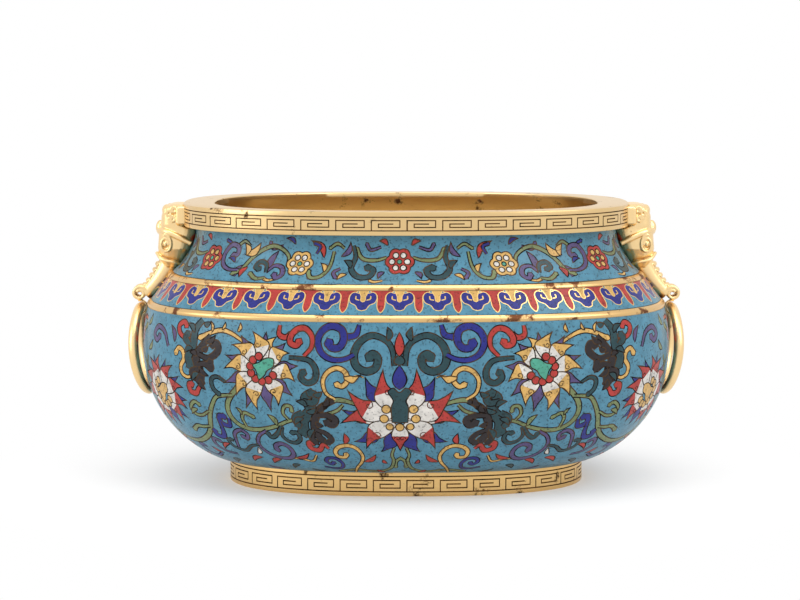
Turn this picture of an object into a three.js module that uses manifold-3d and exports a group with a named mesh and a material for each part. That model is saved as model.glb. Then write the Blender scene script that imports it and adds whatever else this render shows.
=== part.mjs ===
// Oval two-handled incense burner: a hollow bronze vessel with enamel panels, gilt mouldings,
// two cast beast-mask handles with trunk hooks, and a captive ring in each hook.
// Millimetres. +Z is up, +X runs to the right-hand handle, the foot stands on z = 0.

import * as THREE from 'three';
import { mergeVertices } from 'three/addons/utils/BufferGeometryUtils.js';
import Module from 'manifold-3d';

const wasm = await Module();
wasm.setup();

// Plan: one rounded oval, the same at every height
const PLAN_HALF_LENGTH = 181.5;
const PLAN_HALF_DEPTH = 120;
const PLAN_POWER = 2.5;
const ROUND_STEPS = 36;

// Clearances
const GAP = 0.3;
const RING_PLAY = 0.6;
const WELD = 1e-4;

// Foot
const FOOT_HEIGHT = 16.4;
const FOOT_HALF_LENGTH = 122.5;
const FOOT_WALL = 6;
const FOOT_BORDER = 2.6;
const BASE_PLATE = 2;

// Vessel outline, as half length at each height
const BELLY_START = 126;
const BELLY_HEIGHT = 93.4;
const BELLY_FULLNESS = 2.2;
const BELLY_SPREAD = 0.695;
const BELLY_TURN_IN = 2.2;
const LOWER_FILLET_HEIGHT = 123.6;
const LOWER_FILLET_HALF = 177.4;
const UPPER_FILLET_HEIGHT = 142.9;
const UPPER_FILLET_HALF = 162.6;
const NECK_TOP = 176.2;
const NECK_HALF = 144.5;

// Layers of the wall
const ENAMEL = 1.2;
const WALL = 3;
const FILLET_BULGE = 1.1;
const LOWER_FILLET_WIDTH = 4;
const UPPER_FILLET_WIDTH = 3.4;

// Rim
const RIM_TOP = 191.7;
const RIM_HALF = 153;
const RIM_BORDER = 2.9;
const RIM_MOUTH = 131.9;
const RIM_LIP = 4.2;
const FRET_SINK = 0.8;
const EDGE = 0.6;

// Handle casting
const HANDLE_TOP = 190.6;
const HEAD_FACE = 169.6;
const HEAD_BACK = 145;
const HEAD_HALF_WIDTH = 19;
const CROWN_DEPTH = 8;
const CHEEK_BOTTOM = 147;
const BROW_HEIGHT = 170;
const BROW_SET_BACK = 12;
const JOWL_DROP = 10;
const BROW_RADIUS = 1.9;
const EYE_HEIGHT = 163.5;
const EYE_REACH = 165;
const EYE_RADIUS = 3.7;
const KNOB_HEIGHT = 173.5;
const CURL_RADIUS = 4.4;
const TUFT_WIDTH = 8.4;
const TUFT_HEIGHT = 14;
const TUFT_BEVEL = 2;
const TRUNK_SET_BACK = 8.1;
const TRUNK_OVERLAP = 5;
const TRUNK_BEND_BACK = 0.1;
const TRUNK_BEND = 0.64;
const TRUNK_STAND_OFF = 3;
const TRUNK_TIP_BACK = 4;
const TRUNK_ROOT = 8.6;
const TRUNK_TIP = 4.6;
const TRUNK_ROOT_WIDTH = 9.6;
const TRUNK_TIP_WIDTH = 6.4;
const TRUNK_FOLDS = 5;
const FOLD_RADIUS = 1.3;
const SCROLL_RADIUS = 5.7;
const SCROLL_EYE = 1.5;
const HOOK_WALL = 1.5;
const HOOK_WIDTH = 5.2;

// Captive ring
const RING_WIRE = 3.5;
const RING_RADIUS = 28.5;
const RING_STAND_OFF = 3.3;
const RING_PIVOT_HEIGHT = 118;
const RING_PIVOT_REACH = PLAN_HALF_LENGTH + RING_STAND_OFF;
const RING_BEND = 100;
const RING_BEND_TOP = 98;

// Rivet that holds each handle
const RIVET_HEIGHT = 161;
const RIVET_RADIUS = 2.4;
const RIVET_DEPTH = 12;
const RIVET_HEAD_RADIUS = 4.6;
const RIVET_HEAD = 1.8;

function planPoint(turn, halfLength) {
  const cosine = Math.cos(turn);
  const sine = Math.sin(turn);
  const power = 2 / PLAN_POWER;
  const halfDepth = (halfLength * PLAN_HALF_DEPTH) / PLAN_HALF_LENGTH;
  const x = halfLength * Math.sign(cosine) * Math.abs(cosine) ** power;
  const y = halfDepth * Math.sign(sine) * Math.abs(sine) ** power;
  return [x, y];
}

// Half length of the finished outside at a height
function outline(height) {
  if (height <= BELLY_HEIGHT) {
    const rise = (height - FOOT_HEIGHT) / (BELLY_HEIGHT - FOOT_HEIGHT);
    const swell = (1 - (1 - Math.max(rise, 0)) ** BELLY_FULLNESS) ** BELLY_SPREAD;
    return BELLY_START + (PLAN_HALF_LENGTH - BELLY_START) * swell;
  }
  if (height <= LOWER_FILLET_HEIGHT) {
    const rise = (height - BELLY_HEIGHT) / (LOWER_FILLET_HEIGHT - BELLY_HEIGHT);
    return PLAN_HALF_LENGTH - (PLAN_HALF_LENGTH - LOWER_FILLET_HALF) * rise ** BELLY_TURN_IN;
  }
  if (height <= UPPER_FILLET_HEIGHT) {
    const rise = (height - LOWER_FILLET_HEIGHT) / (UPPER_FILLET_HEIGHT - LOWER_FILLET_HEIGHT);
    return LOWER_FILLET_HALF + (UPPER_FILLET_HALF - LOWER_FILLET_HALF) * rise;
  }
  const rise = (height - UPPER_FILLET_HEIGHT) / (NECK_TOP - UPPER_FILLET_HEIGHT);
  return NECK_HALF + (UPPER_FILLET_HALF - NECK_HALF) * (1 - rise) ** 2;
}

function heightsBetween(low, high, count) {
  const heights = [];
  for (let i = 0; i <= count; i += 1) {
    heights.push(low + ((high - low) * i) / count);
  }
  return heights;
}

// Welds a geometry's corners and returns it as a closed solid that faces out
function toSolid(geometry) {
  const bare = new THREE.BufferGeometry();
  bare.setAttribute('position', geometry.getAttribute('position').clone());
  if (geometry.index) {
    bare.setIndex(geometry.index.clone());
  }
  const welded = mergeVertices(bare, WELD);
  const places = welded.getAttribute('position');
  const corner = (i) => new THREE.Vector3().fromBufferAttribute(places, i);
  const triangles = [];
  let volume = 0;
  for (let i = 0; i < welded.index.count; i += 3) {
    const a = welded.index.getX(i);
    const b = welded.index.getX(i + 1);
    const c = welded.index.getX(i + 2);
    if (a !== b && b !== c && c !== a) {
      triangles.push([a, b, c]);
      volume += corner(a).dot(corner(b).cross(corner(c)));
    }
  }
  const order = volume < 0 ? triangles.map(([a, b, c]) => [a, c, b]) : triangles;
  const vertProperties = new Float32Array(places.array);
  const triVerts = new Uint32Array(order.flat());
  return new wasm.Manifold(new wasm.Mesh({ numProp: 3, vertProperties, triVerts }));
}

// Revolves a profile of [half length, height] round the oval plan
function ovalSolid(profile) {
  const points = profile.map(([halfLength, height]) => new THREE.Vector2(halfLength, height));
  const geometry = new THREE.LatheGeometry(points, ROUND_STEPS);
  const position = geometry.getAttribute('position');
  for (let i = 0; i < position.count; i += 1) {
    const halfLength = Math.hypot(position.getX(i), position.getZ(i));
    const turn = Math.atan2(position.getX(i), position.getZ(i));
    const [x, y] = planPoint(turn, halfLength);
    position.setXYZ(i, x, y, position.getY(i));
  }
  return toSolid(geometry);
}

function closed(profile) {
  return [...profile, profile[0]];
}

function join(solids) {
  return solids.slice(1).reduce((whole, solid) => whole.add(solid), solids[0]);
}

// Wall stations
const LOWER_FILLET_LOW = LOWER_FILLET_HEIGHT - LOWER_FILLET_WIDTH / 2;
const LOWER_FILLET_HIGH = LOWER_FILLET_HEIGHT + LOWER_FILLET_WIDTH / 2;
const UPPER_FILLET_LOW = UPPER_FILLET_HEIGHT - UPPER_FILLET_WIDTH / 2;
const UPPER_FILLET_HIGH = UPPER_FILLET_HEIGHT + UPPER_FILLET_WIDTH / 2;
const BELLY_LOW = FOOT_HEIGHT + GAP;
const WALL_TOP = NECK_TOP - GAP;

const bellyHeights = [
  ...[0, 0.03, 0.08, 0.17, 0.3, 0.5, 0.75].map(
    (share) => BELLY_LOW + (BELLY_HEIGHT - BELLY_LOW) * share,
  ),
  ...heightsBetween(BELLY_HEIGHT, LOWER_FILLET_LOW - GAP, 2),
];
const shoulderHeights = heightsBetween(LOWER_FILLET_HIGH + GAP, UPPER_FILLET_LOW - GAP, 2);
const neckHeights = heightsBetween(UPPER_FILLET_HIGH + GAP, WALL_TOP, 4);

function along(heights, offset) {
  return heights.map((height) => [outline(height) + offset, height]);
}

function enamelPanel(heights) {
  return ovalSolid(closed([...along(heights, 0), ...along(heights, -ENAMEL).reverse()]));
}

function vesselShell() {
  const heights = [...bellyHeights, ...shoulderHeights, ...neckHeights];
  const outside = along(heights, -ENAMEL - GAP);
  const floor = BELLY_LOW + WALL;
  const insideHeights = heights.filter((height, i) => height > floor + WALL && i % 2 === 0);
  const inside = along(insideHeights, -ENAMEL - GAP - WALL);
  const floorEdge = outline(floor) - ENAMEL - GAP - WALL;
  return ovalSolid([
    [0, BELLY_LOW],
    ...outside,
    ...inside.reverse(),
    [floorEdge - WALL, floor],
    [0, floor],
  ]);
}

// A half-round gilt band let in between two enamel panels
function fillet(low, high) {
  const middle = (low + high) / 2;
  const seat = -ENAMEL;
  const crown = (share) => FILLET_BULGE * Math.sqrt(1 - share ** 2);
  const face = [-1, -0.6, 0, 0.6, 1].map((share) => {
    const height = middle + (share * (high - low)) / 2;
    return [outline(height) + crown(share * 0.96), height];
  });
  return ovalSolid(closed([...face, [outline(high) + seat, high], [outline(low) + seat, low]]));
}

// A gilt band with a sunk fret field between two plain borders
function frettedFace(halfLength, low, high, border) {
  return [
    [halfLength - EDGE, low],
    [halfLength, low + EDGE],
    [halfLength, low + border],
    [halfLength - FRET_SINK, low + border],
    [halfLength - FRET_SINK, high - border],
    [halfLength, high - border],
    [halfLength, high - EDGE],
    [halfLength - EDGE, high],
  ];
}

function rimRing() {
  const wallInside = outline(WALL_TOP) - ENAMEL - GAP - WALL;
  return ovalSolid(closed([
    ...frettedFace(RIM_HALF, NECK_TOP, RIM_TOP, RIM_BORDER),
    [RIM_MOUTH + EDGE, RIM_TOP],
    [RIM_MOUTH, RIM_TOP - EDGE],
    [RIM_MOUTH, RIM_TOP - RIM_LIP],
    [wallInside, NECK_TOP],
  ]));
}

function footRing() {
  const inside = FOOT_HALF_LENGTH - FOOT_WALL;
  return ovalSolid(closed([
    ...frettedFace(FOOT_HALF_LENGTH, 0, FOOT_HEIGHT, FOOT_BORDER),
    [inside, FOOT_HEIGHT],
    [inside, 0],
  ]));
}

function basePlate() {
  const halfLength = FOOT_HALF_LENGTH - FOOT_WALL - 2 * GAP;
  return ovalSolid([
    [0, FOOT_HEIGHT - BASE_PLATE],
    [halfLength, FOOT_HEIGHT - BASE_PLATE],
    [halfLength, FOOT_HEIGHT],
    [0, FOOT_HEIGHT],
  ]);
}

// The vessel's outside, one gap larger, that a handle's back is cut to
function seatCutter() {
  const panel = (heights) => along(heights, GAP);
  const band = (low, high) => [
    [outline(low) + FILLET_BULGE + GAP, low - GAP],
    [outline(high) + FILLET_BULGE + GAP, high + GAP],
  ];
  return ovalSolid([
    [0, bellyHeights[0]],
    ...panel(bellyHeights),
    ...band(LOWER_FILLET_LOW, LOWER_FILLET_HIGH),
    ...panel(shoulderHeights),
    ...band(UPPER_FILLET_LOW, UPPER_FILLET_HIGH),
    ...panel(neckHeights),
    [RIM_HALF + GAP, NECK_TOP - GAP],
    [RIM_HALF + GAP, RIM_TOP + GAP],
    [0, RIM_TOP + GAP],
  ]);
}

// Skins rounded cross-sections into one body. Each has a centre, two half sizes and a lean.
function loftSolid(sections, sides) {
  const positions = [];
  const index = [];
  sections.forEach(({ x, z, thick, wide, lean, power }) => {
    for (let i = 0; i < sides; i += 1) {
      const turn = ((i + 0.5) * 2 * Math.PI) / sides;
      const across = Math.sign(Math.cos(turn)) * Math.abs(Math.cos(turn)) ** (2 / power) * thick;
      const side = Math.sign(Math.sin(turn)) * Math.abs(Math.sin(turn)) ** (2 / power) * wide;
      positions.push(x + across * Math.cos(lean), side, z + across * Math.sin(lean));
    }
  });
  for (let ring = 0; ring < sections.length - 1; ring += 1) {
    for (let i = 0; i < sides; i += 1) {
      const a = ring * sides + i;
      const b = ring * sides + ((i + 1) % sides);
      index.push(a, b, a + sides, b, b + sides, a + sides);
    }
  }
  const last = (sections.length - 1) * sides;
  for (let i = 1; i < sides - 1; i += 1) {
    index.push(0, i + 1, i);
    index.push(last, last + i, last + i + 1);
  }
  const geometry = new THREE.BufferGeometry();
  geometry.setAttribute('position', new THREE.Float32BufferAttribute(positions, 3));
  geometry.setIndex(index);
  return toSolid(geometry);
}

function ball(radii, place, columns = 7, rows = 5) {
  const geometry = new THREE.SphereGeometry(1, columns, rows);
  geometry.scale(...radii);
  geometry.translate(...place);
  return toSolid(geometry);
}

// The mask: slices from the flat crown down to the cheeks
function maskBody() {
  const slices = [
    { height: HANDLE_TOP, face: -8, width: 0.62 },
    { height: HANDLE_TOP - 2.2, face: -3, width: 0.86 },
    { height: HANDLE_TOP - CROWN_DEPTH, face: -1, width: 0.97 },
    { height: BROW_HEIGHT + 4, face: -0.5, width: 0.97 },
    { height: BROW_HEIGHT, face: 1, width: 1 },
    { height: BROW_HEIGHT - JOWL_DROP, face: 1.8, width: 0.98 },
    { height: CHEEK_BOTTOM + 6, face: 0.6, width: 0.8 },
    { height: CHEEK_BOTTOM, face: -3, width: 0.56 },
  ];
  const sections = slices.map(({ height, face, width }) => ({
    x: (HEAD_FACE + face + HEAD_BACK) / 2,
    z: height,
    thick: (HEAD_FACE + face - HEAD_BACK) / 2,
    wide: HEAD_HALF_WIDTH * width,
    lean: 0,
    power: 3.2,
  }));
  return loftSolid(sections, 16);
}

function maskBrow() {
  const side = HEAD_HALF_WIDTH + BROW_RADIUS * 0.2;
  const half = [
    [HEAD_BACK + 2, side, BROW_HEIGHT - 6],
    [HEAD_BACK + BROW_SET_BACK, side, BROW_HEIGHT - 1],
    [HEAD_FACE - 4, side * 0.82, BROW_HEIGHT + 2.4],
    [HEAD_FACE + 1.2, 0, BROW_HEIGHT + 1.2],
  ];
  const mirrored = half.slice(0, 3).reverse().map(([x, y, z]) => [x, -y, z]);
  const path = new THREE.CatmullRomCurve3(
    [...half, ...mirrored].map(([x, y, z]) => new THREE.Vector3(x, y, z)),
  );
  const section = new THREE.Shape().absarc(0, 0, BROW_RADIUS, 0, 2 * Math.PI);
  const options = { steps: 12, extrudePath: path, curveSegments: 3, bevelEnabled: false };
  return toSolid(new THREE.ExtrudeGeometry(section, options));
}

// A tear-shaped socket with a ball in it, on each side of the mask
function maskEye(side) {
  const socket = new THREE.TorusGeometry(EYE_RADIUS, 1.15, 4, 10);
  socket.scale(1, 1.5, 1);
  socket.rotateX(Math.PI / 2);
  socket.translate(EYE_REACH, side * (HEAD_HALF_WIDTH - 1), EYE_HEIGHT);
  const pupil = ball([2, 2, 3], [EYE_REACH, side * (HEAD_HALF_WIDTH - 1), EYE_HEIGHT], 6, 4);
  return [toSolid(socket), pupil];
}

function maskCrown() {
  const curls = [-1, 0, 1].map((place) => ball(
    [CURL_RADIUS * 0.8, CURL_RADIUS * 1.1, CURL_RADIUS],
    [HEAD_FACE - 4.2 - 1.4 * Math.abs(place), place * HEAD_HALF_WIDTH * 0.56, HANDLE_TOP - 5],
  ));
  const tuft = loftSolid(
    [[0.4, 1], [1, 2.5], [1, TUFT_HEIGHT - TUFT_BEVEL], [0.5, TUFT_HEIGHT]].map(([size, drop]) => ({
      x: HEAD_BACK + TUFT_WIDTH,
      z: HANDLE_TOP - drop,
      thick: TUFT_WIDTH / 2,
      wide: HEAD_HALF_WIDTH + 1.6 * size,
      lean: 0,
      power: 6,
    })),
    12,
  );
  return [...curls, tuft];
}

function trunkStation(share) {
  const root = new THREE.Vector2(HEAD_FACE - TRUNK_SET_BACK, CHEEK_BOTTOM + TRUNK_OVERLAP);
  const tip = new THREE.Vector2(RING_PIVOT_REACH - TRUNK_TIP_BACK, scrollHeight() - 0.4);
  const bendHeight = root.y + (tip.y - root.y) * TRUNK_BEND;
  const bend = new THREE.Vector2(HEAD_FACE - TRUNK_BEND_BACK, bendHeight);
  const curve = new THREE.QuadraticBezierCurve(root, bend, tip);
  const place = curve.getPoint(share);
  const heading = curve.getTangent(share);
  return {
    x: Math.max(place.x, outline(place.y) + TRUNK_STAND_OFF),
    z: place.y,
    thick: TRUNK_ROOT + (TRUNK_TIP - TRUNK_ROOT) * share,
    wide: TRUNK_ROOT_WIDTH + (TRUNK_TIP_WIDTH - TRUNK_ROOT_WIDTH) * share,
    lean: Math.atan2(heading.x, -heading.y),
    power: 2.3,
  };
}

function trunkBody() {
  const sections = heightsBetween(0, 1, 5).map((share) => trunkStation(share));
  return loftSolid(sections, 12);
}

// Raised wrinkles across the trunk
function trunkFold(share) {
  const station = trunkStation(share);
  const fold = new THREE.TorusGeometry(1, FOLD_RADIUS / station.thick, 4, 10);
  fold.scale(station.thick, station.wide, station.thick);
  fold.rotateY(-station.lean);
  fold.translate(station.x, 0, station.z);
  return toSolid(fold);
}

function scrollHeight() {
  return RING_PIVOT_HEIGHT + RING_WIRE + RING_PLAY + 0.4 + SCROLL_RADIUS;
}

function crosswise(geometry, x, z) {
  geometry.translate(x, 0, z);
  return toSolid(geometry);
}

function trunkScroll() {
  const drum = new THREE.CylinderGeometry(SCROLL_RADIUS, SCROLL_RADIUS, 2 * TRUNK_TIP_WIDTH, 16);
  return crosswise(drum, RING_PIVOT_REACH - 0.3, scrollHeight());
}

function scrollEye() {
  const eye = new THREE.CylinderGeometry(SCROLL_EYE, SCROLL_EYE, 4 * TRUNK_TIP_WIDTH, 8);
  return crosswise(eye, RING_PIVOT_REACH + 0.6, scrollHeight() + 0.4);
}

// The tip of the trunk passes behind the ring and closes under it
function trunkHook() {
  const inner = RING_WIRE + RING_PLAY;
  const outer = inner + HOOK_WALL;
  const start = Math.PI * 0.42;
  const end = Math.PI * 1.85;
  const shape = new THREE.Shape();
  shape.absarc(0, 0, outer, start, end, false);
  shape.absarc(0, 0, inner, end, start, true);
  const options = { depth: HOOK_WIDTH, curveSegments: 8, bevelEnabled: false };
  const geometry = new THREE.ExtrudeGeometry(shape, options);
  geometry.rotateX(Math.PI / 2);
  geometry.translate(RING_PIVOT_REACH, HOOK_WIDTH / 2, RING_PIVOT_HEIGHT);
  return toSolid(geometry);
}

// A straight pin square to the neck wall, at the rivet's height
function rivetPin(radius, from, to, endRadius = radius) {
  const step = 1;
  const slope = (outline(RIVET_HEIGHT + step) - outline(RIVET_HEIGHT - step)) / (2 * step);
  const geometry = new THREE.CylinderGeometry(endRadius, radius, to - from, 16);
  geometry.translate(0, (from + to) / 2, 0);
  geometry.rotateZ(-Math.PI / 2);
  geometry.rotateY(Math.atan(slope));
  geometry.translate(outline(RIVET_HEIGHT), 0, RIVET_HEIGHT);
  return toSolid(geometry);
}

function rivetHole() {
  const inside = -(ENAMEL + GAP + WALL) * 2;
  return rivetPin(RIVET_RADIUS + GAP, inside, RIVET_DEPTH + GAP);
}

function handleRivet() {
  const wallInside = -(ENAMEL + GAP + WALL) - 3 * GAP;
  const shank = rivetPin(RIVET_RADIUS, wallInside - RIVET_HEAD / 2, RIVET_DEPTH);
  const head = rivetPin(RIVET_HEAD_RADIUS * 0.6, wallInside - RIVET_HEAD, wallInside, RIVET_HEAD_RADIUS);
  return shank.add(head);
}

function handleCasting() {
  const folds = heightsBetween(0.3, 0.86, TRUNK_FOLDS - 1).map((share) => trunkFold(share));
  const whole = join([
    maskBody(),
    maskBrow(),
    ...maskEye(1),
    ...maskEye(-1),
    ...maskCrown(),
    ball([3.2, 4.6, 5.2], [HEAD_FACE + 0.4, 0, KNOB_HEIGHT]),
    trunkBody(),
    ...folds,
    trunkScroll(),
    trunkHook(),
  ]);
  return whole.subtract(scrollEye()).subtract(seatCutter()).subtract(rivetHole());
}

// A round ring that stands across the handle and is bent to lie along the belly
function captiveRing() {
  const geometry = new THREE.TorusGeometry(RING_RADIUS, RING_WIRE, 8, 32);
  const position = geometry.getAttribute('position');
  const centre = RING_PIVOT_HEIGHT - RING_RADIUS;
  const reachAt = (height) => -((height - RING_BEND_TOP) ** 2) / (2 * RING_BEND);
  for (let i = 0; i < position.count; i += 1) {
    const height = centre + position.getY(i);
    const bend = reachAt(height) - reachAt(RING_PIVOT_HEIGHT);
    position.setXYZ(i, RING_PIVOT_REACH + bend + position.getZ(i), position.getX(i), height);
  }
  return toSolid(geometry);
}

const FINISHES = {
  gilt: { color: 0xd6ad68, roughness: 0.35, metalness: 1 },
  wornGilt: { color: 0xa07d48, roughness: 0.45, metalness: 1 },
  enamel: { color: 0x6aa0b4, roughness: 0.3, metalness: 0 },
};

const burner = new THREE.Group();

function addPart(name, solid, finish, turn = 0) {
  const { vertProperties, triVerts } = solid.getMesh();
  const geometry = new THREE.BufferGeometry();
  geometry.setAttribute('position', new THREE.BufferAttribute(new Float32Array(vertProperties), 3));
  geometry.setIndex(new THREE.BufferAttribute(new Uint32Array(triVerts), 1));
  geometry.computeVertexNormals();
  const mesh = new THREE.Mesh(geometry, new THREE.MeshStandardMaterial(FINISHES[finish]));
  mesh.name = name;
  mesh.rotation.z = turn;
  burner.add(mesh);
}

const HANDLE_SIDES = [
  { side: 'right', turn: 0 },
  { side: 'left', turn: Math.PI },
];

function drilled(solid) {
  const right = rivetHole();
  return solid.subtract(right).subtract(right.rotate([0, 0, 180]));
}

addPart('vessel_shell', drilled(vesselShell()), 'wornGilt');
addPart('belly_enamel', enamelPanel(bellyHeights), 'enamel');
addPart('shoulder_enamel', enamelPanel(shoulderHeights), 'enamel');
addPart('neck_enamel', drilled(enamelPanel(neckHeights)), 'enamel');
addPart('lower_fillet', fillet(LOWER_FILLET_LOW, LOWER_FILLET_HIGH), 'gilt');
addPart('upper_fillet', fillet(UPPER_FILLET_LOW, UPPER_FILLET_HIGH), 'gilt');
addPart('rim_ring', rimRing(), 'gilt');
addPart('foot_ring', footRing(), 'wornGilt');
addPart('base_plate', basePlate(), 'wornGilt');
for (const { side, turn } of HANDLE_SIDES) {
  addPart(`${side}_handle`, handleCasting(), 'gilt', turn);
  addPart(`${side}_ring`, captiveRing(), 'gilt', turn);
  addPart(`${side}_handle_rivet`, handleRivet(), 'wornGilt', turn);
}

export default burner;
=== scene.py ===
import math

import bpy
import numpy as np
from mathutils import Matrix, Vector
from mathutils.geometry import delaunay_2d_cdt


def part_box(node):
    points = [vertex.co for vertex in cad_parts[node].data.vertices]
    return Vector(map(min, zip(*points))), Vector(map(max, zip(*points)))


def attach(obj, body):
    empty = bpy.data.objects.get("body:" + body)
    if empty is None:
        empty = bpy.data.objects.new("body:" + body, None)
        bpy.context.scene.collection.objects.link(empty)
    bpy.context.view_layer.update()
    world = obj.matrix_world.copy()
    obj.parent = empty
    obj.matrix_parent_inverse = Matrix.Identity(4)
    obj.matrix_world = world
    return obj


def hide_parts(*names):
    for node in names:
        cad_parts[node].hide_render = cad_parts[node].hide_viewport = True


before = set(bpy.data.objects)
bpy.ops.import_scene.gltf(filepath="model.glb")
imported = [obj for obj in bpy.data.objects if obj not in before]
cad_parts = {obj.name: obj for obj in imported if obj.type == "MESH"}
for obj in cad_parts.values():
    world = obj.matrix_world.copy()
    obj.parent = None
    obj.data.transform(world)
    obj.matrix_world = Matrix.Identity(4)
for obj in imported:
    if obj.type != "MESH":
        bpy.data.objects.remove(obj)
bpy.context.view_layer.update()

bl_info = {
    "name": "Enamelled incense burner",
    "version": (1, 0, 0),
    "blender": (4, 5, 0),
    "location": "3D View > Sidebar > Burner",
    "description": "Dresses the oval two-handled incense burner: enamel cells, gilding and handles",
    "category": "Object",
}

MM = 0.001


def top_of(node):
    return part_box(node)[1]


def foot_of(node):
    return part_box(node)[0]


# Sizes in millimetres, from the frame where one of its boxes gives them
PLAN_LENGTH = top_of("belly_enamel").x / MM
PLAN_DEPTH = top_of("belly_enamel").y / MM
PLAN_SHARE = PLAN_DEPTH / PLAN_LENGTH
PLAN_POWER = 2.5
GAP = 0.3
FOOT_HEIGHT = top_of("foot_ring").z / MM
FOOT_HALF = top_of("foot_ring").x / MM
FOOT_WALL = 6.0
FOOT_BORDER = 2.6
BASE_PLATE = 2.0
BELLY_START = 126.0
BELLY_HEIGHT = 93.4
BELLY_FULLNESS = 2.2
BELLY_SPREAD = 0.695
BELLY_TURN_IN = 2.2
LOWER_FILLET = (foot_of("lower_fillet").z / MM, top_of("lower_fillet").z / MM)
UPPER_FILLET = (foot_of("upper_fillet").z / MM, top_of("upper_fillet").z / MM)
LOWER_FILLET_HALF = 177.4
UPPER_FILLET_HALF = 162.6
NECK_TOP = foot_of("rim_ring").z / MM
NECK_HALF = 144.5
ENAMEL = 1.2
WALL = 3.0
RIM_TOP = top_of("rim_ring").z / MM
RIM_HALF = top_of("rim_ring").x / MM
RIM_BORDER = 2.9
RIM_MOUTH = 131.9
RIM_LIP = 4.2
EDGE = 0.6
# The rounding of an edge passes this far inside its upright face and its level face
EDGE_IN = 0.15
EDGE_UP = 0.2
RING_WIRE = 3.5
RING_RADIUS = 28.5
RING_PIVOT = (184.8, 118.0)
RING_BEND = 100.0
RING_BEND_TOP = 98.0
BELLY_LOW = FOOT_HEIGHT + GAP
LOWER_MIDDLE = sum(LOWER_FILLET) / 2
UPPER_MIDDLE = sum(UPPER_FILLET) / 2
# Half length at which the profiles of the closed solids end, where a flat cap closes them
CORE = 0.5
# The drawing's mirror line on the front stands this far to the left of the middle
ASIDE = 4.5


# Settings that a user may change


def rgb(red, green, blue):
    """A screen colour of 0 to 255 as the linear value that a shader takes."""

    def linear(value):
        value /= 255
        return value / 12.92 if value <= 0.04045 else ((value + 0.055) / 1.055) ** 2.4

    return (linear(red), linear(green), linear(blue), 1)


def colour_setting(name, description, red, green, blue):
    return bpy.props.FloatVectorProperty(
        name=name,
        description=description,
        default=rgb(red, green, blue),
        subtype="COLOR",
        size=4,
        min=0,
        max=1,
    )


def length_setting(name, description, millimetres):
    return bpy.props.FloatProperty(
        name=name, description=description, default=millimetres * MM, min=0, unit="LENGTH"
    )


def in_mm(length):
    """A length setting in millimetres, without the rounding of its storage."""
    return round(length / MM, 3)


class BurnerEnamel(bpy.types.PropertyGroup):
    wire: length_setting("Wire", "Width of the wires round the cells", 0.8)
    spacing: length_setting("Grid", "Spacing of the surface points between the wires", 3.6)
    heads: bpy.props.IntProperty(
        name="Ruyi heads", description="Number of heads round the shoulder", default=38, min=4
    )
    pitting: bpy.props.FloatProperty(
        name="Pitting", description="Darkness of the pits", default=0.55, min=0, max=1, subtype="FACTOR"
    )
    turquoise: colour_setting("Turquoise", "Ground of all three zones", 72, 124, 146)
    cobalt: colour_setting("Cobalt", "Under petals, tendrils and ruyi heads", 28, 34, 116)
    red: colour_setting("Red", "Petal tips, blossoms and pendants", 160, 48, 42)
    white: colour_setting("White", "Lotus petals", 200, 196, 190)
    yellow: colour_setting("Yellow", "Beads, tendrils and blossoms", 196, 156, 88)
    leaf: colour_setting("Leaf green", "Stems", 108, 120, 80)
    green: colour_setting("Dark green", "Acanthus leaves, tendrils and the lotus pod", 28, 60, 66)
    mauve: colour_setting("Mauve", "Tendrils and under petals", 78, 66, 108)
    black: colour_setting("Black", "Dark acanthus leaves", 34, 26, 28)
    jade: colour_setting("Jade", "Flower hearts", 72, 150, 128)


class BurnerMetal(bpy.types.PropertyGroup):
    fret_depth: length_setting("Fret depth", "Depth of the band that holds a key fret", 0.8)
    rim_frets: bpy.props.IntProperty(
        name="Rim frets", description="Number of key fret units round the rim", default=36, min=4
    )
    foot_frets: bpy.props.IntProperty(
        name="Foot frets", description="Number of key fret units round the foot", default=30, min=4
    )
    bulge: length_setting("Fillet bulge", "How far the fillets stand out from the enamel", 1.1)
    casting: length_setting("Casting detail", "Smallest form kept in the masks and trunks", 0.42)
    gilt: colour_setting("Gilding", "Rim", 226, 194, 140)
    cast: colour_setting("Cast gilding", "Handles and rings", 246, 214, 158)
    fillet: colour_setting("Fillet gilding", "Both fillets", 222, 184, 126)
    inside: colour_setting("Inside gilding", "Shell and rivets", 222, 198, 152)
    foot: colour_setting("Foot gilding", "Foot and base plate", 222, 184, 122)
    patina: colour_setting("Patina", "Grooves of the key frets", 96, 66, 38)
    wire: colour_setting("Dark wire", "Wires of the belly and the neck", 80, 62, 46)
    bright: colour_setting("Bright wire", "Wires of the shoulder", 226, 190, 120)


class BurnerCamera(bpy.types.PropertyGroup):
    distance: bpy.props.FloatProperty(
        name="Distance", description="From the burner's middle to the lens", default=1.709, unit="LENGTH"
    )
    height: bpy.props.FloatProperty(
        name="Height", description="Of the lens above the table", default=0.314, unit="LENGTH"
    )
    aside: bpy.props.FloatProperty(
        name="Aside", description="Sideways place of the lens", default=-0.0042, unit="LENGTH"
    )
    pitch: bpy.props.FloatProperty(
        name="Pitch", description="Downward tilt", default=math.radians(6.38), subtype="ANGLE"
    )
    lens: bpy.props.FloatProperty(name="Lens", description="Focal length", default=111.4, unit="CAMERA")


# Form of the vessel


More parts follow.
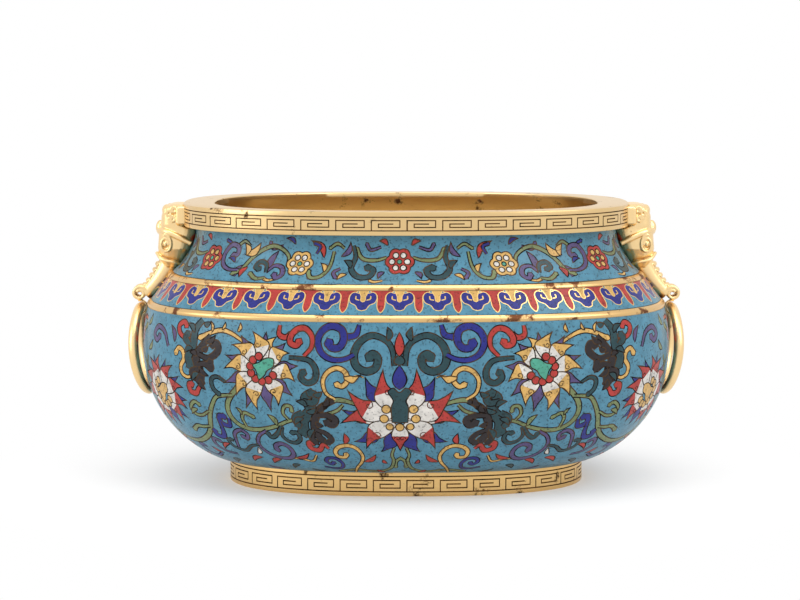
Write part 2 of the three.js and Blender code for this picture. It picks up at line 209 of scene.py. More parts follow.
def outline(z):
    """Half length of the vessel's outside at height z."""
    if z <= BELLY_HEIGHT:
        rise = max(z - FOOT_HEIGHT, 0) / (BELLY_HEIGHT - FOOT_HEIGHT)
        swell = (1 - (1 - rise) ** BELLY_FULLNESS) ** BELLY_SPREAD
        return BELLY_START + (PLAN_LENGTH - BELLY_START) * swell
    if z <= LOWER_MIDDLE:
        rise = (z - BELLY_HEIGHT) / (LOWER_MIDDLE - BELLY_HEIGHT)
        return PLAN_LENGTH - (PLAN_LENGTH - LOWER_FILLET_HALF) * rise**BELLY_TURN_IN
    if z <= UPPER_MIDDLE:
        rise = (z - LOWER_MIDDLE) / (UPPER_MIDDLE - LOWER_MIDDLE)
        return LOWER_FILLET_HALF + (UPPER_FILLET_HALF - LOWER_FILLET_HALF) * rise
    rise = (z - UPPER_MIDDLE) / (NECK_TOP - UPPER_MIDDLE)
    return NECK_HALF + (UPPER_FILLET_HALF - NECK_HALF) * (1 - rise) ** 2


def plan_point(turn, half):
    """A point of the oval, with turn 0 at the front centre and a quarter turn at the right end."""
    sine = math.sin(turn)
    cosine = math.cos(turn)
    power = 2 / PLAN_POWER
    x = half * math.copysign(abs(sine) ** power, sine)
    y = -half * PLAN_SHARE * math.copysign(abs(cosine) ** power, cosine)
    return x, y


TURN_STEPS = 400


def turn_table():
    """Arc length of a quarter of the widest oval at even turns."""
    lengths = [0.0]
    last = plan_point(0, PLAN_LENGTH)
    for i in range(1, TURN_STEPS + 1):
        here = plan_point(math.pi / 2 * i / TURN_STEPS, PLAN_LENGTH)
        lengths.append(lengths[-1] + math.dist(last, here))
        last = here
    return lengths


ARC = turn_table()
QUARTER = ARC[-1]


def turn_at(share):
    """The turn at a share of the quarter's arc length."""
    target = min(max(share, 0), 1) * QUARTER
    low, high = 0, TURN_STEPS
    while high - low > 1:
        middle = (low + high) // 2
        if ARC[middle] <= target:
            low = middle
        else:
            high = middle
    part = (target - ARC[low]) / (ARC[high] - ARC[low])
    return math.pi / 2 * (low + part) / TURN_STEPS


def oval_place(share, half, z):
    x, y = plan_point(turn_at(share), half)
    return Vector((x, y, z))


def oval_normal(share, z, slope):
    """Outward normal of the oval surface; slope is the change of half length with height."""
    turn = turn_at(share)
    half = outline(z)
    x, y = plan_point(turn, half)
    power = PLAN_POWER - 1
    depth = half * PLAN_SHARE
    nx = math.copysign(abs(x / half) ** power, x) / half
    ny = math.copysign(abs(y / depth) ** power, y) / depth
    flat = (abs(x / half) ** PLAN_POWER + abs(y / depth) ** PLAN_POWER) / half
    return Vector((nx, ny, -slope * flat)).normalized()


# Mesh helpers


def new_piece(name, points, faces, materials, indices=None, smooth=True):
    mesh = bpy.data.meshes.new(name)
    mesh.from_pydata([Vector(point) * MM for point in points], [], faces)
    for material in materials:
        mesh.materials.append(material)
    if indices:
        mesh.polygons.foreach_set("material_index", indices)
    mesh.polygons.foreach_set("use_smooth", [smooth] * len(mesh.polygons))
    mesh.validate()
    mesh.update()
    piece = bpy.data.objects.new(name, mesh)
    bpy.context.scene.collection.objects.link(piece)
    return piece


def stand_for(piece, node, body):
    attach(piece, body)
    if node:
        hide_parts(node)


OVAL_STEPS = 256


def oval_solid(name, profile, material, on_axis=False):
    """Revolves a closed profile of (half length, height) round the oval."""
    points = []
    faces = []
    turns = [2 * math.pi * i / OVAL_STEPS for i in range(OVAL_STEPS)]
    for half, z in profile:
        for turn in turns:
            x, y = plan_point(turn, half)
            points.append((x, y, z))
    rings = len(profile)
    for ring in range(rings - (1 if on_axis else 0)):
        after = (ring + 1) % rings
        for i in range(OVAL_STEPS):
            j = (i + 1) % OVAL_STEPS
            faces.append(
                (
                    ring * OVAL_STEPS + i,
                    ring * OVAL_STEPS + j,
                    after * OVAL_STEPS + j,
                    after * OVAL_STEPS + i,
                )
            )
    if on_axis:
        faces.append(tuple(reversed(range(OVAL_STEPS))))
        faces.append(tuple(range((rings - 1) * OVAL_STEPS, rings * OVAL_STEPS)))
    piece = new_piece(name, points, faces, [material])
    sharpen(piece)
    return piece


def sharpen(piece, angle=35):
    piece.data.set_sharp_from_angle(angle=math.radians(angle))


def between(low, high, count):
    return [low + (high - low) * i / count for i in range(count + 1)]


# Materials


def new_group(name, inputs, outputs):
    group = bpy.data.node_groups.new(name, "ShaderNodeTree")
    for label, kind, value in inputs:
        socket = group.interface.new_socket(label, in_out="INPUT", socket_type=kind)
        socket.default_value = value
    for label, kind in outputs:
        group.interface.new_socket(label, in_out="OUTPUT", socket_type=kind)
    start = group.nodes.new("NodeGroupInput")
    end = group.nodes.new("NodeGroupOutput")
    return group, start, end


def wear_group():
    """Patches where a layer has worn through, with a fine grain inside them."""
    group, start, end = new_group(
        "worn patches",
        [("Size", "NodeSocketFloat", 40.0), ("Amount", "NodeSocketFloat", 0.4)],
        [("Mask", "NodeSocketFloat"), ("Grain", "NodeSocketFloat")],
    )
    nodes, links = group.nodes, group.links
    place = nodes.new("ShaderNodeTexCoord")
    broad = nodes.new("ShaderNodeTexNoise")
    broad.inputs["Detail"].default_value = 8
    broad.inputs["Roughness"].default_value = 0.68
    fine = nodes.new("ShaderNodeTexNoise")
    fine.inputs["Scale"].default_value = 900
    fine.inputs["Detail"].default_value = 3
    edge = nodes.new("ShaderNodeMath")
    edge.operation = "SUBTRACT"
    spread = nodes.new("ShaderNodeMapRange")
    spread.inputs["From Min"].default_value = 0
    spread.inputs["From Max"].default_value = 0.06
    links.new(place.outputs["Object"], broad.inputs["Vector"])
    links.new(place.outputs["Object"], fine.inputs["Vector"])
    links.new(start.outputs["Size"], broad.inputs["Scale"])
    links.new(broad.outputs["Fac"], edge.inputs[0])
    links.new(start.outputs["Amount"], edge.inputs[1])
    links.new(edge.outputs[0], spread.inputs["Value"])
    links.new(spread.outputs["Result"], end.inputs["Mask"])
    links.new(fine.outputs["Fac"], end.inputs["Grain"])
    return group


def mottle_group():
    """Cloudy change of tone and small pits, as in old polished enamel."""
    group, start, end = new_group(
        "enamel mottle",
        [("Colour", "NodeSocketColor", (0.1, 0.3, 0.4, 1)), ("Depth", "NodeSocketFloat", 0.3)],
        [("Colour", "NodeSocketColor"), ("Height", "NodeSocketFloat")],
    )
    nodes, links = group.nodes, group.links
    place = nodes.new("ShaderNodeTexCoord")
    cloud = nodes.new("ShaderNodeTexNoise")
    cloud.inputs["Scale"].default_value = 160
    cloud.inputs["Detail"].default_value = 6
    pits = nodes.new("ShaderNodeTexNoise")
    pits.inputs["Scale"].default_value = 620
    pits.inputs["Detail"].default_value = 2
    pit_mask = nodes.new("ShaderNodeMapRange")
    pit_mask.inputs["From Min"].default_value = 0.32
    pit_mask.inputs["From Max"].default_value = 0.44
    tone = nodes.new("ShaderNodeMapRange")
    tone.inputs["From Min"].default_value = 0.3
    tone.inputs["From Max"].default_value = 0.7
    tone.inputs["To Min"].default_value = 0.8
    tone.inputs["To Max"].default_value = 1.14
    shade = nodes.new("ShaderNodeVectorMath")
    shade.operation = "SCALE"
    pitted = nodes.new("ShaderNodeMix")
    pitted.data_type = "RGBA"
    pitted.blend_type = "MULTIPLY"
    for noise in (cloud, pits):
        links.new(place.outputs["Object"], noise.inputs["Vector"])
    links.new(cloud.outputs["Fac"], tone.inputs["Value"])
    links.new(pits.outputs["Fac"], pit_mask.inputs["Value"])
    links.new(start.outputs["Colour"], shade.inputs[0])
    links.new(tone.outputs["Result"], shade.inputs["Scale"])
    links.new(start.outputs["Depth"], pitted.inputs["Factor"])
    links.new(shade.outputs[0], pitted.inputs["A"])
    links.new(pit_mask.outputs["Result"], pitted.inputs["B"])
    links.new(pitted.outputs["Result"], end.inputs["Colour"])
    links.new(pit_mask.outputs["Result"], end.inputs["Height"])
    return group


# Shader groups and materials by their names here, filled by mix_finishes
GROUPS = {}
FINISHES = {}


def add_group(material, key):
    node = material.node_tree.nodes.new("ShaderNodeGroup")
    node.node_tree = GROUPS[key]
    return node


def bump_from(material, socket, strength, distance):
    nodes, links = material.node_tree.nodes, material.node_tree.links
    bump = nodes.new("ShaderNodeBump")
    bump.inputs["Strength"].default_value = strength
    bump.inputs["Distance"].default_value = distance
    links.new(socket, bump.inputs["Height"])
    links.new(bump.outputs["Normal"], nodes["Principled BSDF"].inputs["Normal"])


def gilt_metal(name, colour, under, amount, size, roughness):
    """Gilding that has worn to the dark bronze under it in patches."""
    material = bpy.data.materials.new(name)
    material.use_nodes = True
    nodes, links = material.node_tree.nodes, material.node_tree.links
    shader = nodes["Principled BSDF"]
    shader.inputs["Metallic"].default_value = 1
    wear = add_group(material, "wear")
    wear.inputs["Size"].default_value = size
    wear.inputs["Amount"].default_value = amount
    mix = nodes.new("ShaderNodeMix")
    mix.data_type = "RGBA"
    mix.inputs["A"].default_value = colour
    mix.inputs["B"].default_value = under
    rough = nodes.new("ShaderNodeMapRange")
    rough.inputs["To Min"].default_value = roughness
    rough.inputs["To Max"].default_value = 0.62
    links.new(wear.outputs["Mask"], mix.inputs["Factor"])
    links.new(wear.outputs["Mask"], rough.inputs["Value"])
    links.new(mix.outputs["Result"], shader.inputs["Base Color"])
    links.new(rough.outputs["Result"], shader.inputs["Roughness"])
    bump_from(material, wear.outputs["Grain"], 0.25, 0.0002)
    return material


def enamel(name, colour, depth):
    """Opaque polished enamel with cloudy tones and pits."""
    material = bpy.data.materials.new(name)
    material.use_nodes = True
    links = material.node_tree.links
    shader = material.node_tree.nodes["Principled BSDF"]
    shader.inputs["Roughness"].default_value = 0.34
    shader.inputs["Specular IOR Level"].default_value = 0.3
    shader.inputs["Coat Weight"].default_value = 0.08
    shader.inputs["Coat Roughness"].default_value = 0.12
    mottle = add_group(material, "mottle")
    mottle.inputs["Colour"].default_value = colour
    mottle.inputs["Depth"].default_value = depth
    links.new(mottle.outputs["Colour"], shader.inputs["Base Color"])
    bump_from(material, mottle.outputs["Height"], 0.3, 0.0002)
    return material


ENAMELS = ("turquoise", "cobalt", "red", "white", "yellow", "leaf", "green", "mauve", "black", "jade")
# Finishes of the enamel zones, in the order of their material slots
CELL_FINISHES = [*ENAMELS, "wire", "bright"]
# For each metal: its material, the screen colour under it, the share worn, the patches' scale, the roughness
METALS = {
    "wire": ("cell wire", (34, 28, 26), 0.48, 120, 0.5),
    "bright": ("bright cell wire", (92, 62, 38), 0.66, 120, 0.3),
    "gilt": ("gilding", (92, 62, 38), 0.62, 45, 0.3),
    "cast": ("cast gilding", (120, 84, 52), 0.62, 50, 0.36),
    "fillet": ("rubbed gilding", (116, 74, 50), 0.54, 60, 0.3),
    "inside": ("gilding inside", (66, 44, 32), 0.6, 16, 0.38),
    "foot": ("dull gilding", (72, 50, 32), 0.58, 50, 0.38),
    "patina": ("dark ground", (48, 34, 24), 0.5, 90, 0.6),
}


def mix_finishes(enamels, metals):
    """Makes every material from the colour settings."""
    GROUPS["wear"] = wear_group()
    GROUPS["mottle"] = mottle_group()
    for name in ENAMELS:
        FINISHES[name] = enamel(name, getattr(enamels, name), enamels.pitting)
    for name, (label, under, amount, size, roughness) in METALS.items():
        FINISHES[name] = gilt_metal(label, getattr(metals, name), rgb(*under), amount, size, roughness)


# Drawing of the enamel cells, in millimetres on the unrolled surface


def flow(points, steps=8):
    """A smooth line through given points."""
    points = [Vector(point) for point in points]
    ends = [points[0] * 2 - points[1], *points, points[-1] * 2 - points[-2]]
    line = []
    for i in range(len(points) - 1):
        a, b, c, d = ends[i : i + 4]
        for step in range(steps):
            t = step / steps
            line.append(
                0.5
                * (
                    2 * b
                    + (c - a) * t
                    + (2 * a - 5 * b + 4 * c - d) * t * t
                    + (3 * b - a - 3 * c + d) * t**3
                )
            )
    line.append(points[-1])
    return line


def curl(centre, radius, start, turns, steps=26, inner=0.22):
    """A spiral from its outer end to its eye; a negative number of turns runs clockwise."""
    line = []
    for i in range(steps + 1):
        part = i / steps
        reach = radius * (1 - (1 - inner) * part**0.85)
        turn = math.radians(start) + turns * 2 * math.pi * part
        line.append(Vector(centre) + Vector((math.cos(turn), math.sin(turn))) * reach)
    return line


def area(points):
    return sum(
        a.x * b.y - b.x * a.y for a, b in zip(points, points[1:] + points[:1], strict=True)
    )


def inset(points, depth):
    line = []
    count = len(points)
    for i in range(count):
        along = points[(i + 1) % count] - points[i - 1]
        if along.length < 1e-6:
            continue
        along.normalize()
        line.append(points[i] + Vector((-along.y, along.x)) * depth)
    return line


class Drawing:
    """Cells in painter's order on a quarter of a zone, each with its wire."""

    # An outline that lies further outside the quarter than this is left out
    margin = 2.0

    def __init__(self, width, height, wire, metal="wire"):
        self.width = width
        self.height = height
        self.wire = wire
        self.metal = metal
        corners = [(0, 0), (width, 0), (width, height), (0, height)]
        self.shapes = [([Vector(corner) for corner in corners], "turquoise")]

    def fill(self, points, colour):
        """Adds one outline; its points are measured from the vessel's own middle."""
        points = [Vector(point) - Vector((ASIDE, 0)) for point in points]
        if area(points) < 0:
            points.reverse()
        margin = self.margin
        wide, high = self.width + margin, self.height + margin
        if any(-margin < point.x < wide and -margin < point.y < high for point in points):
            self.shapes.append((points, colour))

    def cell(self, points, colour, wire=None):
        """An outline of wire filled with one enamel."""
        points = [Vector(point) for point in points]
        if area(points) < 0:
            points.reverse()
        self.fill(points, self.metal)
        self.fill(inset(points, wire or self.wire), colour)

    def band(self, line, width, colour, taper=0.35, bulb=1.0, wire=None):
        """A stem or scroll that starts thin, swells, and ends in a bulb."""
        for extra, tone in ((wire or self.wire, self.metal), (0, colour)):
            left = []
            right = []
            last = len(line) - 1
            for i, point in enumerate(line):
                part = i / last
                swell = taper + (1 - taper) * min(1, part * 2.2)
                end = bulb if part > 0.94 else 1
                half = width / 2 * swell * end + extra
                along = (line[min(i + 1, last)] - line[max(i - 1, 0)]).normalized()
                side = Vector((-along.y, along.x)) * half
                left.append(point + side)
                right.append(point - side)
            tip = (line[-1] - line[-2]).normalized() * (width / 2 + extra)
            self.fill(left + [line[-1] + tip] + right[::-1], tone)

    def leaf(self, root, tip, width, colour, bend=0.0):
        root, tip = Vector(root), Vector(tip)
        along = tip - root
        side = Vector((-along.y, along.x)).normalized()
        rows = 9
        left = []
        right = []
        for i in range(1, rows):
            part = i / rows
            half = width / 2 * math.sin(math.pi * part**0.8) ** 0.8
            middle = root + along * part + side * bend * math.sin(math.pi * part) * along.length
            left.append(middle + side * half)
            right.append(middle - side * half)
        self.cell([root, *left, tip, *right[::-1]], colour)

    def flame(self, root, tip, width, base, tone=None, hook=0.0, start=0.38):
        """A petal that swells and then draws out to a hooked point, with a coloured tip."""
        root, tip = Vector(root), Vector(tip)
        along = tip - root
        side = Vector((-along.y, along.x)).normalized()
        swell = (
            (0, 0.2), (0.14, 0.38), (0.28, 0.5), (0.42, 0.52),
            (0.54, 0.43), (0.65, 0.28), (0.78, 0.17), (0.9, 0.08),
        )
        left = []
        right = []
        for part, half in swell:
            middle = root + along * part + side * hook * width * math.sin(math.pi * part) * 0.7
            left.append(middle + side * half * width)
            right.append(middle - side * half * width)
        line = flow([*right, tip], 3) + flow([tip, *left[::-1]], 3)[1:]
        self.cell(line, base)
        if tone:
            inner = inset(line if area(line) > 0 else line[::-1], self.wire)
            limit = along.length * start
            way = along.normalized()
            self.fill([point for point in inner if (point - root).dot(way) > limit], tone)
            eye = root + along * 0.5 + side * width * 0.14 * (1 if hook >= 0 else -1)
            turn = math.degrees(math.atan2(along.y, along.x))
            self.band(curl(eye, width * 0.2, turn + 90, 1.0, 14), 0.1, tone, wire=0.32)

    def dots(self, centre, ring, count, radius, colour):
        for i in range(count):
            turn = 2 * math.pi * i / count
            middle = Vector(centre) + Vector((math.cos(turn), math.sin(turn))) * ring
            self.disc(middle, radius, colour)

    def rod(self, points, width, colour, taper=0.5):
        self.band(flow(points, 6), width, colour, taper=taper, bulb=1.3)

    def disc(self, centre, radius, colour, steps=12):
        turns = [2 * math.pi * i / steps for i in range(steps)]
        outer = [Vector(centre) + Vector((math.cos(t), math.sin(t))) * radius for t in turns]
        self.cell(outer, colour)

    def flower(self, centre, petals, under, tone, under_tone, heart, bead, width=11.5):
        """An open lotus from each petal's direction and reach."""
        centre = Vector(centre)

        def ray(angle, reach):
            turn = math.radians(angle)
            return centre + Vector((math.cos(turn), math.sin(turn))) * reach

        for angle, reach in under:
            self.flame(ray(angle, 9), ray(angle, reach), width * 0.72, under_tone)
        for angle, reach in petals:
            hook = 0.5 if math.cos(math.radians(angle)) > 0 else -0.5
            self.flame(ray(angle, 6), ray(angle, reach), width, "white", tone, hook)
        for angle in range(-150, 80, 32):
            self.disc(ray(angle, 8.4), 3.1, bead)
        pod = [
            (60, 5), (20, 7.4), (-20, 5), (-70, 8), (-110, 5),
            (-160, 4), (170, 8), (140, 10.5), (110, 8),
        ]
        self.cell(flow([*(ray(*end) for end in pod), ray(*pod[0])], 4)[:-1], heart)

    def blossom(self, centre, radius, colour, heart, count=6):
        """A small round blossom with notched petals."""
        line = []
        for i in range(count * 8):
            turn = 2 * math.pi * i / (count * 8)
            reach = radius * (0.84 + 0.16 * abs(math.cos(turn * count / 2)))
            line.append(Vector(centre) + Vector((math.cos(turn), math.sin(turn))) * reach)
        self.cell(line, colour)
        self.dots(centre, radius * 0.5, count, radius * 0.24, heart)
        self.disc(centre, radius * 0.2, "jade", 8)

    def triangles(self, spacing):
        """Cuts all outlines into one set of triangles with a colour each."""
        columns = round(self.width / spacing)
        rows = max(1, round(self.height / spacing))
        points = []
        edges = []
        for points_of, _ in self.shapes:
            start = len(points)
            count = len(points_of)
            points.extend(points_of)
            edges.extend((start + i, start + (i + 1) % count) for i in range(count))
        for i in range(columns + 1):
            for j in range(rows + 1):
                points.append(Vector((self.width * i / columns, self.height * j / rows)))
        result = delaunay_2d_cdt(points, edges, [], 0, 1e-3)
        corners = result[0]
        places = np.array([tuple(corner) for corner in corners])
        cut = np.array(result[2])
        middles = places[cut].mean(axis=1)
        limit = np.array([self.width, self.height])
        cut = cut[np.all((middles > 0) & (middles < limit), axis=1)]
        middles = places[cut].mean(axis=1)
        tones = np.zeros(len(cut), int)
        for points_of, colour in self.shapes:
            tones[covered(middles, points_of)] = CELL_FINISHES.index(colour)
        return corners, cut.tolist(), tones.tolist()


def covered(places, points_of):
    """Which places lie inside an outline that runs anticlockwise."""
    ends = np.array([tuple(point) for point in points_of])
    near = np.all((places >= ends.min(axis=0)) & (places <= ends.max(axis=0)), axis=1)
    chosen = np.nonzero(near)[0]
    x, y = places[chosen, 0], places[chosen, 1]
    winding = np.zeros(len(chosen), int)
    for (ax, ay), (bx, by) in zip(ends, np.roll(ends, -1, axis=0), strict=True):
        side = (bx - ax) * (y - ay) - (x - ax) * (by - ay)
        winding += ((ay <= y) & (by > y) & (side > 0)).astype(int)
        winding -= ((ay > y) & (by <= y) & (side < 0)).astype(int)
    return chosen[winding > 0]


def draw_belly(width, height, settings):
    """The lotus scroll, from the front centre to the middle of one end."""
    art = Drawing(width, height, in_mm(settings.wire))
    draw_stems(art)
    draw_scrolls(art)
    draw_leaves(art)
    flank = [
        (115, 24), (72, 26), (34, 27), (-3, 28), (-44, 28),
        (-78, 30), (-109, 27), (-159, 24), (151, 22),
    ]
    flank_under = [
        (132, 24), (95, 25), (54, 27), (17, 28), (-21, 31),
        (-62, 32), (-96, 30), (-138, 27), (174, 25),
    ]
    art.flower((95, 91), flank, flank_under, "yellow", "mauve", "jade", "red")
    end = [
        (96, 27), (60, 27), (24, 28), (-12, 28), (-50, 28),
        (-86, 25), (-122, 25), (-158, 27), (168, 28), (132, 28),
    ]
    end_under = [(angle + 18, reach) for angle, reach in end]
    art.flower((185, 68), end, end_under, "red", "cobalt", "yellow", "yellow", 10.5)
    draw_lotus(art)
    return art


def draw_stems(art):
    stem = "leaf"
    art.rod([(1, 34), (2, 26), (8, 20), (9, 12)], 2.2, stem)
    art.rod([(9, 34), (11, 27), (10, 20), (14, 10), (26, 5), (44, 8), (60, 4)], 2.2, stem)
    art.rod([(30, 67), (40, 70.5), (48, 71), (56, 66)], 2.6, stem)
    art.rod([(42, 68), (47, 63.5), (56, 60.5)], 1.6, stem)
    art.rod([(72, 57), (82, 55), (91, 51), (102, 48), (112, 47.5), (120, 51), (124, 58), (123, 66),
             (117, 74), (110, 80)], 2.8, stem)
    art.rod([(81, 56), (84, 61), (82, 66), (78, 66), (77.5, 62.5)], 1.8, stem)
    art.rod([(114, 49), (115, 56), (112, 60), (106, 57)], 1.8, stem)
    art.rod([(108, 108), (117, 113), (125, 115), (133, 113), (142, 109)], 2.4, "yellow")
    art.rod([(118, 72), (125, 71.5), (131, 70), (136, 64), (141, 56), (145, 48), (151, 41), (159, 36),
             (170, 32), (184, 31), (200, 36)], 2.8, stem)
    art.rod([(141, 59), (148, 55.5), (154, 56), (156, 61), (151, 65), (147, 63)], 2.0, stem)
    art.rod([(146, 47), (153, 46), (159, 46), (166, 42)], 2.2, stem)
    art.rod([(202, 92), (208, 78), (208, 62), (200, 44), (206, 28), (222, 22)], 2.8, stem)
    art.rod([(204, 84), (216, 92), (218, 104), (208, 112)], 2.4, stem)


def draw_scrolls(art):
    """Spiral tendrils, each from its root to its eye."""
    art.rod([(8, 94), (9, 104), (13, 110.5), (22, 114), (30, 110), (34, 102), (32.5, 94), (26, 90.5),
             (20, 93), (18.5, 99), (22, 102), (24.5, 99)], 4.2, "green")
    art.rod([(31, 121), (33, 114.5), (38, 113)], 3.2, "cobalt")
    art.rod([(34, 101.5), (40, 98.5), (48, 98), (55, 102), (58, 110), (55, 117), (49, 120), (42.5, 117.5),
             (41, 111), (44, 106), (49, 106), (51, 110)], 4, "cobalt")
    art.rod([(47, 71.5), (53, 76), (54.5, 84), (51, 90), (45, 92.5), (40, 90), (38.5, 84.5), (42, 80.5),
             (46, 82)], 2.6, "yellow")
    art.rod([(84, 120), (84, 114), (80, 112), (76, 114)], 3, "red")
    art.rod([(67, 100), (62, 106), (62, 113), (66.5, 118), (72, 117.5), (76, 113), (76, 108.5), (72, 107),
             (70, 110)], 3.4, "red")
    art.rod([(77, 99), (70, 98.5), (63, 97), (59, 91), (60, 84.5), (65, 82.5), (69, 86), (67, 90)],
            3.2, "green")
    art.rod([(46, 3), (42, 11), (36, 19), (34, 26), (37, 33), (43, 36), (50, 34.5), (54, 30), (53, 25),
             (48, 24.5), (46, 28)], 2.6, "yellow")
    art.rod([(58, 33), (61.5, 36.5), (64, 33), (67, 31), (71.5, 33), (71.5, 37.5), (68, 38)], 3.6, "red")
    art.rod([(70, 12), (62, 9.5), (55, 11), (52.5, 17), (56, 22.5), (62, 23), (65, 19), (62, 15.5), (59, 18)],
            2.2, "cobalt")
    art.rod([(70, 26), (76, 19), (84, 21), (90, 22)], 1.4, "yellow")
    art.rod([(100, 47), (108, 42), (112, 34), (109, 26), (102, 21.5), (94, 21.5), (88.5, 26), (88.5, 32.5),
             (93, 36), (98.5, 34), (99.5, 29)], 2.8, "mauve")
    art.rod([(87, 51), (89.5, 44), (87, 39), (81.5, 37.5), (77, 41), (77.5, 46), (82, 46)], 2.2, "green")
    art.rod([(88, 51), (93, 44.5), (98, 41.5), (100, 45)], 2.4, "green")
    art.rod([(150, 109), (155.5, 108.5), (160, 111.5), (161, 116), (157, 118.5), (154, 116)], 3, "red")
    art.rod([(147, 85), (152, 82), (157, 84), (158, 89), (155, 94), (156, 99), (160, 101), (163, 97)],
            2.6, "yellow")
    art.rod([(140, 79), (144, 75), (147, 71.5), (151.5, 72.5), (152, 77), (149, 77.5)], 3.4, "red")
    art.rod([(122, 81), (128, 84), (132.5, 82), (132, 76), (128, 72)], 2.2, "green")
    art.rod([(126, 55), (128, 49), (134, 51), (133, 56), (129, 56)], 3.4, "cobalt")
    art.rod([(135, 52), (136, 44), (139, 39), (144, 40), (144, 44)], 3.2, "cobalt")
    art.rod([(133, 28), (130, 36), (127, 43), (121, 46), (117, 43), (119, 39), (122, 41)], 2.2, "mauve")
    art.rod([(112, 34), (120, 32), (128, 27), (136, 30), (137, 36), (133, 37)], 2.0, "green")
    art.rod([(140, 22), (149, 24), (154, 30), (151, 36), (146, 34)], 2.2, "mauve")
    art.rod([(160, 20), (170, 16), (178, 20), (177, 27), (171, 27)], 2.4, "cobalt")
    art.rod([(186, 16), (196, 12), (204, 16), (203, 24), (196, 24)], 2.6, "red")
    art.rod([(171, 101), (176, 110), (185, 113), (190, 108), (186, 104), (182, 107)], 3, "mauve")
    art.rod([(210, 116), (220, 116), (227, 109), (224, 101), (217, 103), (219, 108)], 3.2, "red")
    art.rod([(217, 92), (226, 96), (236, 92), (238, 82), (231, 77), (225, 82), (229, 87)], 3.8, "cobalt")
    art.rod([(210, 66), (222, 70), (232, 66), (234, 56), (227, 51), (221, 56), (225, 61)], 3.4, "green")
    art.rod([(206, 46), (218, 46), (228, 42), (229, 33), (222, 29), (217, 34), (221, 38)], 2.8, "yellow")
    art.rod([(222, 12), (232, 14), (239, 22), (236, 30), (230, 27)], 2.4, "mauve")


def draw_leaves(art):
    for root, tip, width, tone in (
        ((12, 110), (12.5, 120), 5, "green"), ((27, 86), (35, 87), 1.6, "yellow"),
        ((45, 37), (44, 47), 5, "red"), ((34, 19), (23, 28), 5, "red"), ((19, 22), (15, 17), 4, "red"),
        ((89, 22), (75, 28), 4.4, "red"), ((119, 24), (114.5, 32), 4, "white"),
        ((90, 51), (96, 60), 4.6, "leaf"), ((114, 58), (118, 64), 3, "leaf"),
        ((102, 20), (114, 13), 4.6, "red"),
        ((118, 21), (132, 14), 4.6, "red"), ((138, 33), (149, 26), 4, "red"), ((26, 8), (18, 3), 4, "red"),
        ((150, 60), (158, 55), 4, "leaf"), ((84, 8), (72, 3), 4, "green"), ((90, 14), (100, 7), 4.4, "green"),
        ((124, 10), (112, 4), 4.4, "cobalt"), ((146, 15), (158, 8), 4.6, "green"),
        ((164, 27), (155, 21), 4, "red"), ((180, 8), (168, 4), 4.4, "red"),
        ((193, 33), (202, 26), 4.4, "red"),
        ((206, 8), (194, 4), 4.4, "cobalt"), ((228, 8), (216, 4), 4.4, "green"),
        ((113, 114), (112, 121), 3.4, "yellow"), ((125, 115), (123, 121), 3, "yellow"),
        ((132, 113), (135, 121), 3, "yellow"), ((200, 96), (192, 104), 4.4, "leaf"),
        ((204, 112), (198, 121), 4.6, "leaf"), ((238, 108), (232, 121), 5, "yellow"),
        ((239, 62), (239, 76), 6, "red"), ((239, 36), (246, 48), 6, "red"),
        ((164, 104), (170, 116), 4.4, "mauve"),
    ):
        art.leaf(root, tip, width, tone, 0.14)
    art.flame((41, 86), (29, 89), 5.4, "yellow", hook=0.6)
    art.rod([(61, 77), (67, 72), (64, 64), (71, 56), (72, 46)], 7, "green", 0.6)
    art.rod([(69, 70), (62, 69), (60, 74), (64, 76)], 4, "green", 0.8)
    art.rod([(70, 62), (76, 58), (75, 52)], 4, "green", 0.8)
    art.rod([(48, 70.5), (57, 66), (62.5, 57), (64, 48), (61, 40)], 4.4, "black", 0.5)
    art.rod([(61, 60), (54, 60), (48.5, 57), (51, 53), (55, 55)], 4, "black", 0.6)
    art.rod([(63, 49), (57, 46), (54, 41), (58, 38)], 3.2, "black", 0.7)
    art.rod([(66, 48), (68, 42), (66, 38)], 3.6, "black", 0.8)
    art.rod([(141, 121), (146, 114), (147, 104), (151, 96), (149, 90)], 5.5, "green", 0.6)
    art.rod([(150, 104), (154, 108), (152, 111)], 4, "green", 0.8)
    art.rod([(133, 111), (139, 104), (144, 95), (141, 86), (142, 79)], 5.5, "black", 0.5)
    art.rod([(142, 98), (134, 96), (127, 101), (128, 106), (132, 105)], 4, "black", 0.6)
    art.rod([(143, 91), (137, 92), (132, 89), (133, 94)], 3.4, "black", 0.7)
    art.rod([(143, 88), (148, 86), (147, 82)], 4, "black", 0.8)
    spikes = (
        ((56, 66), (52, 74), "black"), ((60, 62), (56, 69), "black"), ((63, 55), (57, 52), "black"),
        ((64, 50), (70, 40), "green"), ((66, 66), (74, 70), "green"), ((62, 74), (55, 77), "green"),
        ((70, 58), (78, 52), "green"), ((68, 62), (60, 66), "green"), ((146, 112), (154, 118), "green"),
        ((147, 102), (155, 98), "green"), ((137, 106), (129, 112), "black"), ((143, 97), (150, 99), "black"),
        ((142, 90), (134, 84), "black"), ((142, 86), (149, 79), "green"), ((142, 82), (138, 74), "black"),
        ((140, 101), (134, 104), "black"), ((140, 118), (134, 120), "green"),
    )
    for root, tip, tone in spikes:
        art.leaf(root, tip, 4.6, tone, 0.16)


